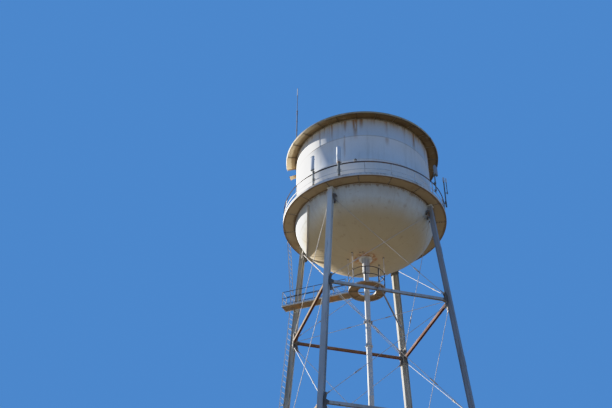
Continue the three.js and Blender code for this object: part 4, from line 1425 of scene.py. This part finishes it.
# Stays at each strut level: a clamped collar, and a rod with a turnbuckle to every leg
def buildStays():
    inner, half = riser["radius"] + 0.0004, riser["collar"] / 2
    for i, level in enumerate(strutLevels):
        bm = bmesh.new()
        addRing(bm, inner, inner + riser["collarWall"], level - half, level + half, 32)
        for k in range(4):
            azimuth = legAzimuth(k)
            out, sway = polar(1, azimuth), polar(1, azimuth + 135)
            # Ears of the clamp, with a bolt through each pair
            ear = polar(inner + 0.05, azimuth + 45, level)
            for foot in (ear - sway * 0.016 - up * half, ear + sway * 0.016 - up * half):
                addBar(bm, foot, foot + up * 2 * half, 0.075, 0.010, sway, 1)
            for spot in (ear - up * 0.04, ear + up * 0.04):
                addRod(bm, spot + sway * 0.03, spot - sway * 0.03, 0.010, 6, 1)
            addBar(bm, polar(inner, azimuth, level), polar(inner + 0.09, azimuth, level), 0.012, 0.07, up, 1)
            near, far = polar(inner + 0.06, azimuth, level), legPoint(k, level) - out * 0.125
            addRod(bm, near, far, riser["stay"])
            middle = near + (far - near) * riser["buckleAt"]
            for spot, way in ((near, out), (far, -out)):
                bar, block = middle + way.cross(up) * 0.022, middle + way * 0.11
                addRod(bm, spot, spot + way * 0.09, 0.024, 8, 1, 0.016)
                addBar(bm, bar - out * 0.11, bar + out * 0.11, 0.010, 0.022, up, 1)
                addRod(bm, block - way * 0.025, block + way * 0.03, 0.027, 8, 1, 0.019)
        finishPiece(bm, "stays_%d" % (i + 1), [rodPaint, fittingPaint], "rod_steel",
                    "riser_stays_%d" % (i + 1))


buildTrunking()
buildStruts()
buildJoints()
buildTieRods()
print("struts, gussets and tie rods are built")
buildRiser()
buildStays()
print("riser and stays are built")


# Platform round the riser: ring of plates in channels, rail on posts, hangers up to the bowl
platform = {
    "inner": 0.47, "plate": 0.010, "plates": 8, "wall": 0.009, "railHeight": 0.9, "railTurn": 320,
    "railSteps": 40, "bar": 0.032, "hanger": 0.014, "rivet": (0.009, 0.006), "nut": (0.010, 0.008),
    "footPlate": (0.085, 0.05), "sunlitPosts": (162, 202.5, 22.5, 67.5),
    "posts": (162, 202.5, 247.5, 292.5, 337.5, 22.5, 67.5, 122), "hangers": (162, 202.5, 337.5, 22.5),
}
platformPaint = paintOf("platformPaint", (0.60, 0.56, 0.48), (0.33, 0.27, 0.19), "orange", 0.55, 0.5, 0.4, [
    (underLayer(0.95, -0.4, -0.75, 0.15), (0.24, 0.145, 0.065)),
    (blotchLayer(1.8, 0.52, 0.64, 0.5), (0.20, 0.10, 0.04)),
    (blotchLayer(0.9, 0.56, 0.62, 0.75, 0.6), (0.44, 0.20, 0.05)),
])


def buildPlatform():
    low, top, outer = ringLow.z, ringHigh.z, ringHigh.x
    inner, wall, under = platform["inner"], platform["wall"], top - platform["plate"]
    bm = bmesh.new()
    addRing(bm, inner, outer - wall, under, top, 64)
    addSpin(bm, [(outer - 0.045, low), (outer, low), (outer, top), (outer - wall, top),
                 (outer - wall, low + wall), (outer - 0.045, low + wall)], 64)
    addSpin(bm, [(inner, low), (inner + 0.04, low), (inner + 0.04, low + wall), (inner + wall, low + wall),
                 (inner + wall, under), (inner, under)], 64)
    places = []
    for azimuth in spaced(platform["plates"], 22.5):
        addSection(bm, angleOutline(0.05, 0.05, 0.007), polar(inner + wall, azimuth, under - 0.025),
                   polar(outer - wall, azimuth, under - 0.025))
        places += [at(polar(inner + 0.08 + 0.11 * j, azimuth, top)) for j in range(4)]
    addHeads(bm, places, *platform["rivet"])
    finishPiece(bm, "platform_ring", [platformPaint], "balcony_paint", "platform_floor")


def buildPlatformRail():
    floor, bar, first = ringHigh.z, platform["bar"], platform["posts"][0]
    radius, head = ringHigh.x - bar, floor + platform["railHeight"]
    bm = bmesh.new()
    tube = [polar(bar * 0.68, azimuth).xy for azimuth in spaced(8, 22.5)]
    azimuths = between(first, first + platform["railTurn"], platform["railSteps"])
    for level in (head, (floor + head) / 2):
        frames = [facing(polar(radius, azimuth, level), polar(1, azimuth + 90)) for azimuth in azimuths]
        addSweep(bm, tube, frames)
    places = []
    post = angleOutline(bar + 0.012, bar + 0.012, 0.007)
    for azimuth in platform["posts"]:
        # Posts at the sunlit azimuths are painted white and the rest dark: painted light
        paint, out = int(azimuth in platform["sunlitPosts"]), polar(1, azimuth)
        foot = polar(radius - 0.004, azimuth, floor)
        addSection(bm, post, foot, polar(radius - 0.004, azimuth, head), out, paint)
        addBar(bm, foot, foot + up * 0.008, *platform["footPlate"], out, paint)
        places += [at(foot + up * 0.008 + polar(aside, azimuth + 90)) for aside in (-0.03, 0.03)]
    addHeads(bm, places, *platform["nut"])
    for azimuth in platform["hangers"]:
        foot, under = polar(radius, azimuth, head - 0.05), bowlLevel(radius) - 0.012
        addRod(bm, foot, polar(radius, azimuth, under), platform["hanger"], 8, 1)
        addRod(bm, foot + up * 0.1, foot + up * 0.16, 0.024, 6)
        addBar(bm, polar(radius - 0.05, azimuth, under - 0.012), polar(radius + 0.05, azimuth, under - 0.004),
               0.07, 0.012)
    finishPiece(bm, "platform_guard", [darkRailPaint, whitePaint], "rail_paint", "platform_railing")


# Channel that carries the platform from the back right leg
bearer = {
    "near": (0.37, -0.85), "halfWidth": 0.03, "halfDepth": 0.05, "wall": 0.007, "endGap": 0.14,
    "bolts": 3, "bolt": (0.011, 0.009),
}


def buildPlatformBeam():
    level = sum(corner.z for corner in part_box("platform_beam")) / 2
    near, far = Vector((*bearer["near"], level)), legPoint(2, level)
    run = (far - near).normalized()
    end, aside = far - run * bearer["endGap"], run.cross(up)
    x, y, wall = bearer["halfWidth"], bearer["halfDepth"], bearer["wall"]
    bm = bmesh.new()
    channel = [(-x, -y), (x, -y), (x, wall - y), (wall - x, wall - y), (wall - x, y - wall), (x, y - wall),
               (x, y), (-x, y)]
    addSection(bm, channel, near, end)
    addBar(bm, end - run * 0.16 + aside * 0.038, end + aside * 0.038, 0.010, 0.16)
    bolts = [facing(end - run * (0.03 + 0.05 * j) + aside * 0.042, aside) for j in range(bearer["bolts"])]
    addHeads(bm, bolts, *bearer["bolt"])
    finishPiece(bm, "platform_bearer", [strutPaint], "strut_paint", "platform_beam")


# Walkway: deck plate between toe angles, cross bearers below, handrails on four bays of posts
walkway = {
    "azimuth": 142, "end": 4.75, "width": 0.52, "plate": 0.008, "middle": 0.016, "toe": 0.10,
    "toeWall": 0.008, "bays": 4, "bar": 0.032, "bearers": 9, "railHeight": 0.92, "bolt": (0.010, 0.008),
}


def buildWalkway():
    level, start, end = ringLow.z, ringHigh.x - 0.002, walkway["end"]
    direction, aside = polar(1, walkway["azimuth"]), polar(1, walkway["azimuth"] + 90)
    half, wall, bar = walkway["width"] / 2, walkway["toeWall"], walkway["bar"]
    edge, top, middle = walkway["toe"], walkway["railHeight"], walkway["middle"]

    def spot(distance, offset, height):
        return direction * distance + aside * offset + up * (level + height)

    bm = bmesh.new()
    addBar(bm, spot(start, 0, middle), spot(end, 0, middle), walkway["width"] - 0.02, walkway["plate"])
    addBar(bm, spot(end - 0.004, -half, edge / 2), spot(end - 0.004, half, edge / 2), 0.008, edge)
    for distance in between(start + 0.12, end - 0.08, walkway["bearers"] - 1):
        addSection(bm, angleOutline(0.045, 0.045, 0.006), spot(distance, 0.01 - half, -0.006),
                   spot(distance, half - 0.01, -0.006))
    toe = [(0, 0), (0.04, 0), (0.04, wall), (wall, wall), (wall, edge), (0, edge)]
    first, last, heights = start + 0.09, end - bar, (top - 0.01, (top + edge) / 2)
    places = []
    for side in (-1, 1):
        face, line = side * half, side * (half - wall / 2)
        addSection(bm, [(side * x, y) for x, y in toe], spot(start, face, 0), spot(end, face, 0), up, 1)
        for distance in between(first, last, walkway["bays"]):
            foot, head = spot(distance, line, 0.01), spot(distance, line, top)
            addSection(bm, angleOutline(bar, bar, 0.006), foot, head, direction, 1)
            places += [facing(spot(distance, face, z), aside * side) for z in (0.04, 0.075)]
        for height in heights:
            addRod(bm, spot(first - 0.01, line, height), spot(last + 0.01, line, height), bar / 2, 8, 2)
        # Brace from the platform's rim to the first post
        addRod(bm, spot(start - 0.02, side * (half - 0.05), 0.02), spot(first + 0.28, line, top * 0.46),
               0.011, 6, 1)
    for height in heights:
        addRod(bm, spot(last, wall / 2 - half, height), spot(last, half - wall / 2, height), bar / 2, 8, 1)
    addHeads(bm, places, *walkway["bolt"])
    # Bracket to the leg
    seat = level - 0.03
    near, far = polar(legRadius(seat), walkway["azimuth"], seat + 0.005), legPoint(3, seat)
    addSection(bm, angleOutline(0.055, 0.055, 0.008), near, far - (far - near).normalized() * 0.135)
    finishPiece(bm, "walkway_frame", [platformPaint, whitePaint, railPaint], "balcony_paint", "walkway")


# Ladders: flat bar rails, round rungs through them, and clips to what carries them
ladder = {"width": 0.4, "rail": 0.04, "railWall": 0.012, "step": 0.3, "rung": 0.011}
legLadder = {"standOff": 0.19, "foot": 1.2, "above": 1.0, "clips": (2.4, 6.5, 11.5, 15.5, 20.5, 24.8)}
edgeLadder = {"azimuth": 141.6, "foot": 4.25, "above": 0.0223, "overhang": 0.116, "hook": 0.08}
shellLadder = {"azimuth": 112, "standOff": 0.22, "clips": (0.3, 0.9)}


def addLadder(bm, foot, head, side):
    run, half = head - foot, ladder["width"] / 2
    across = along(foot, head, side).to_3x3() @ Vector((1, 0, 0))
    for shift in (across * -half, across * half):
        addBar(bm, foot + shift, head + shift, ladder["railWall"], ladder["rail"], side, 0, 0.002)
    count, rung = int(run.length / ladder["step"]), across * (half + 0.012)
    for i in range(count):
        spot = foot + run * ((i + 0.5) / count)
        addRod(bm, spot - rung, spot + rung, ladder["rung"])
    return across


def buildLegLadder():
    out, face = polar(1, legAzimuth(3)), leg["depth"] / 2
    standOff = face + legLadder["standOff"]
    low, high = legLadder["foot"], ringLow.z + legLadder["above"]
    foot, head = legPoint(3, low) + out * standOff, legPoint(3, high) + out * standOff
    bm = bmesh.new()
    across = addLadder(bm, foot, head, out)
    places = []
    for z in legLadder["clips"]:
        near, tip = legPoint(3, z) + out * (face + 0.012), legPoint(3, z) + out * (standOff - 0.016)
        addBar(bm, near - across * 0.2, near + across * 0.2, 0.05, 0.012, out)
        for way in (-across, across):
            addSection(bm, angleOutline(0.045, 0.045, 0.006), near + way * 0.1,
                       tip + way * (ladder["width"] / 2 - 0.02))
            places.append(facing(near + way * 0.16, out))
    addHeads(bm, places, 0.012, 0.010)
    finishPiece(bm, "leg_ladder", [rodPaint], "rod_steel", "ladder_lower")


def buildEdgeLadder():
    azimuth, reach = edgeLadder["azimuth"], deckRadius + edgeLadder["overhang"]
    top, hook = balconyLevel + rail["top"], balconyLevel + edgeLadder["hook"]
    bm = bmesh.new()
    foot = polar(edgeLadder["foot"], azimuth, ringLow.z + edgeLadder["above"])
    addLadder(bm, foot, polar(reach, azimuth, top), polar(1, azimuth))
    for aside in (-0.5, 0.5):
        shift = polar(aside * ladder["width"], azimuth + 90)
        near, far = polar(deckRadius + 0.001, azimuth, hook), polar(reach - 0.05, azimuth, hook)
        addBar(bm, near + shift, far + shift, 0.05, 0.01)
        addRod(bm, polar(reach, azimuth, top - 0.05) + shift,
               polar(deckRadius - 0.03, azimuth, top - 0.015) + shift, 0.012)
    finishPiece(bm, "edge_ladder", [rodPaint], "rod_steel", "ladder_upper")


def buildShellLadder():
    azimuth, radius = shellLadder["azimuth"], tankRadius + shellLadder["standOff"]
    bm = bmesh.new()
    foot = polar(radius, azimuth, deckLow.z + deck["plate"] + 0.0003)
    addLadder(bm, foot, roofSpot(radius, azimuth, roof["plate"] + 0.012), polar(1, azimuth))
    for share in shellLadder["clips"]:
        z = balconyLevel + (shellTop - balconyLevel) * share
        for aside in (-0.49, 0.49):
            shift = polar(aside * ladder["width"], azimuth + 90)
            addSection(bm, angleOutline(0.05, 0.05, 0.006), polar(tankRadius + 0.001, azimuth, z) + shift,
                       polar(radius - 0.018, azimuth, z) + shift)
    finishPiece(bm, "shell_ladder", [rodPaint], "rod_steel", "ladder_shell")


buildPlatform()
buildPlatformRail()
buildPlatformBeam()
buildWalkway()
buildLegLadder()
buildEdgeLadder()
buildShellLadder()
print("platform, walkway and ladders are built")


# Mast on the eave: stepped tube on a bolted foot, with clamps and a pale tip
mast = {
    "azimuth": -168.2, "radius": 4.277, "foot": 0.1, "plate": 0.016, "webs": 3,
    "tubes": ((0.032, 36.9, 0.012, 0), (0.018, 38.2, 0.006, 0), (0.028, 38.84, 0.012, 1)),
    "clamps": (35.4, 36.1, 36.7, 36.92), "tipRing": 38.19,
}
steelPaint = paintOf("galvanisedSteel", (0.27, 0.26, 0.25), (0.12, 0.10, 0.085), "brown", 0.6, 0.35, 0.3,
                     metallic=0.25)
paleCap = paintOf("paleCap", (0.66, 0.66, 0.64), (0.36, 0.34, 0.30), "orange", 0.3, 0.03, 0.12)


def buildMast():
    base, high = [corner.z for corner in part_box("roof_mast")]
    spot, foot, top = polar(mast["radius"], mast["azimuth"]), mast["foot"], base + mast["plate"]
    place = at(spot)
    bm = bmesh.new()
    addSpin(bm, [(0, base), (foot, base), (foot, top - 0.003), (foot - 0.003, top), (0, top)], 24, 0, place)
    start = top
    for radius, end, cap, paint in mast["tubes"]:
        tip = min(end, high)
        addSpin(bm, [(0, start), (radius, start), (radius, tip - cap), (radius - cap * 0.8, tip), (0, tip)],
                12, paint, place)
        start = tip
    addHeads(bm, [at(spot + polar(0.078, azimuth, top)) for azimuth in spaced(6)], 0.011, 0.012)
    web = [(0.030, 0), (0.066, 0), (0.036, 0.16), (0.030, 0.16)]
    for azimuth in spaced(mast["webs"], 30):
        out, side = polar(1, azimuth), polar(1, azimuth - 90)
        addPlate(bm, web, axesAt(spot + up * top - side * 0.003, out, up, side), 0.006)
    for z in mast["clamps"]:
        addRing(bm, 0.0, 0.046, z, z + 0.04, 16, 0, place)
    addRing(bm, 0.0, 0.030, mast["tipRing"], mast["tipRing"] + 0.03, 12, 0, place)
    finishPiece(bm, "roof_mast_tube", [steelPaint, paleCap], "mast_steel", "roof_mast")


# Aerials on the rail: covers, poles, clamps and brackets
aerialPaint = paintOf("aerialCover", (0.66, 0.68, 0.69), (0.40, 0.39, 0.36), "brown", 0.35, 0.02, 0.08)
dullAerialPaint = paintOf("dullAerialCover", (0.33, 0.35, 0.37), (0.20, 0.20, 0.19), "brown", 0.35, 0.02,
                          0.08)
polePaint = paintOf("aerialPole", (0.20, 0.21, 0.19), (0.10, 0.09, 0.075), "brown", 0.6, 0.4, 0.3)
bracketPaint = paintOf("aerialBracket", (0.38, 0.26, 0.15), (0.20, 0.12, 0.07), "orange", 0.5, 0.7, 0.3)
poleGap = 0.06
aerials = {    # heights above the balcony
    "left": {"azimuth": -144, "pole": (0.038, 0.06, 1.96), "panel": (0.23, 0.07, 1.0, 1.96)},
    "middle": {"azimuth": -124.8, "pole": (0.065, 0.12, 1.0), "can": (0.116, 0.96, 2.0)},
    "corner": {"azimuth": -52, "pole": (0.032, 0.43, 2.08), "panel": (0.26, 0.11, 1.44, 2.08)},
    "right": {"azimuth": -28.5, "pole": (0.034, 0.70, 2.74), "can": (0.05, 2.43, 2.74),
              "branch": (0.13, 0.022, 1.60, 2.64)},
}


def buildAerial(name, sizes):
    azimuth = sizes["azimuth"]
    radius, low, high = sizes["pole"]
    centre, out = railOuter + radius + poleGap, polar(1, azimuth)

    def spot(reach, height, aside=0.0):
        return polar(centre + reach, azimuth, balconyLevel + height) + polar(aside, azimuth + 90)

    bm = bmesh.new()
    addRod(bm, spot(0, low), spot(0, high), radius, 16, 1)
    addRod(bm, spot(0, low - 0.004), spot(0, low + 0.03), radius + 0.008, 16, 1)
    if "panel" in sizes:
        width, depth, foot, head = sizes["panel"]
        front = radius + depth / 2
        addBar(bm, spot(front, foot + 0.03), spot(front, head - 0.03), width, depth, out, 0, 0.016)
        for z in (foot, head - 0.03):    # dark end caps and the connectors below
            addBar(bm, spot(front, z), spot(front, z + 0.03), width * 0.98, depth * 0.96, out, 1, 0.006)
        for aside in (-0.06, 0.06):
            addRod(bm, spot(front, foot - 0.06, aside), spot(front, foot + 0.01, aside), 0.014, 8, 1)
        for share in (0.15, 0.85):
            z = foot + (head - foot) * share
            addBar(bm, spot(0, z, -0.055), spot(0, z, 0.055), 0.05, 2 * radius + 0.03, out, 1)
    if "can" in sizes:
        wide, foot, head = sizes["can"]
        foot, head, place = balconyLevel + foot, balconyLevel + head, at(polar(centre, azimuth))
        addSpin(bm, [(0, foot), (wide * 0.8, foot), (wide, foot + wide * 0.25), (wide, head - wide * 0.4),
                     (wide * 0.85, head - wide * 0.12), (wide * 0.5, head), (0, head)], 28, 0, place)
        addRing(bm, 0.0, wide * 0.72, foot - 0.05, foot + 0.01, 20, 2, place)
        addRing(bm, wide - 0.004, wide + 0.005, foot + 0.06, foot + 0.075, 28, 1, place)
    if "branch" in sizes:
        reach, thick, foot, head = sizes["branch"]
        addRod(bm, spot(reach, foot), spot(reach, head), thick, 10, 1)
        addRod(bm, spot(reach, head - 0.3), spot(reach, head), thick * 1.5, 10)
        addRod(bm, spot(-0.02, foot + thick), spot(reach, foot + thick), thick * 0.9, 8, 1)
        addRod(bm, spot(reach, foot - 0.06), spot(reach, foot + 0.06), 0.034, 10, 1)
        addRod(bm, spot(0, low - 0.05), spot(0, low + 0.09), 0.048, 12, 1)
    # Brackets to the rails: a crossed pair of clamps with U bolts round the pole
    places = []
    behind, beside = -radius - 0.012, radius + 0.012
    for height in (rail["mid"], rail["top"]):
        if height < low:
            continue
        z = height - rail["bar"] / 2
        near = polar(railOuter + 0.0004, azimuth, balconyLevel + z)
        addBar(bm, near, spot(-radius * 0.5, z), 0.06, 0.03, up, 2)
        for level in (z - 0.045, z + 0.045):
            start, end = spot(behind, level, -radius - 0.06), spot(behind, level, radius + 0.06)
            addBar(bm, start, end, 0.03, 0.014, up, 1)
            for aside in (-beside, beside):
                end = spot(0, level, aside)
                addRod(bm, end - out * (radius + 0.02), end + out * (radius * 0.4), 0.007, 6, 1)
                places.append(facing(end - out * (radius + 0.005), -out))
            bow = radius * 0.6 + 0.014
            arc = [spot(radius * 0.4 + math.sin(turn) * bow, level, math.cos(turn) * beside)
                   for turn in between(0, math.pi, 8)]
            for start, end in zip(arc, arc[1:]):
                addRod(bm, start, end, 0.007, 6, 1)
    addHeads(bm, places, 0.012, 0.014)
    cover = dullAerialPaint if name == "corner" else aerialPaint
    finishPiece(bm, "aerial_%s_set" % name, [cover, polePaint, bracketPaint], "aerial_grey", "aerial_" + name)


# Small lamp dome on the top rail
dome = {"azimuth": -114, "radius": 0.085, "height": 0.2, "base": 0.07}


def buildDome():
    foot, radius = balconyLevel + rail["top"], dome["radius"]
    wide, narrow, seat = radius * 0.95, radius * 0.6, foot + dome["base"]
    place = at(polar(railOuter - rail["bar"] / 2, dome["azimuth"]))
    bm = bmesh.new()
    addSpin(bm, [(0, foot + 0.0005), (wide, foot + 0.0005), (wide, foot + 0.015), (narrow, foot + 0.03),
                 (narrow, seat), (0, seat)], 20, 1, place)
    tall = dome["height"] - dome["base"]
    curve = [(0, seat + 0.0005)] + [(radius * math.cos(turn), seat + 0.0005 + tall * math.sin(turn))
                                    for turn in between(0, math.pi / 2, 6)]
    addSpin(bm, curve, 20, 0, place)
    finishPiece(bm, "rail_lamp", [polePaint, aerialPaint], "mast_steel")


buildMast()
for aerialName, aerialSizes in aerials.items():
    buildAerial(aerialName, aerialSizes)
buildDome()
print("mast, aerials and lamp are built")
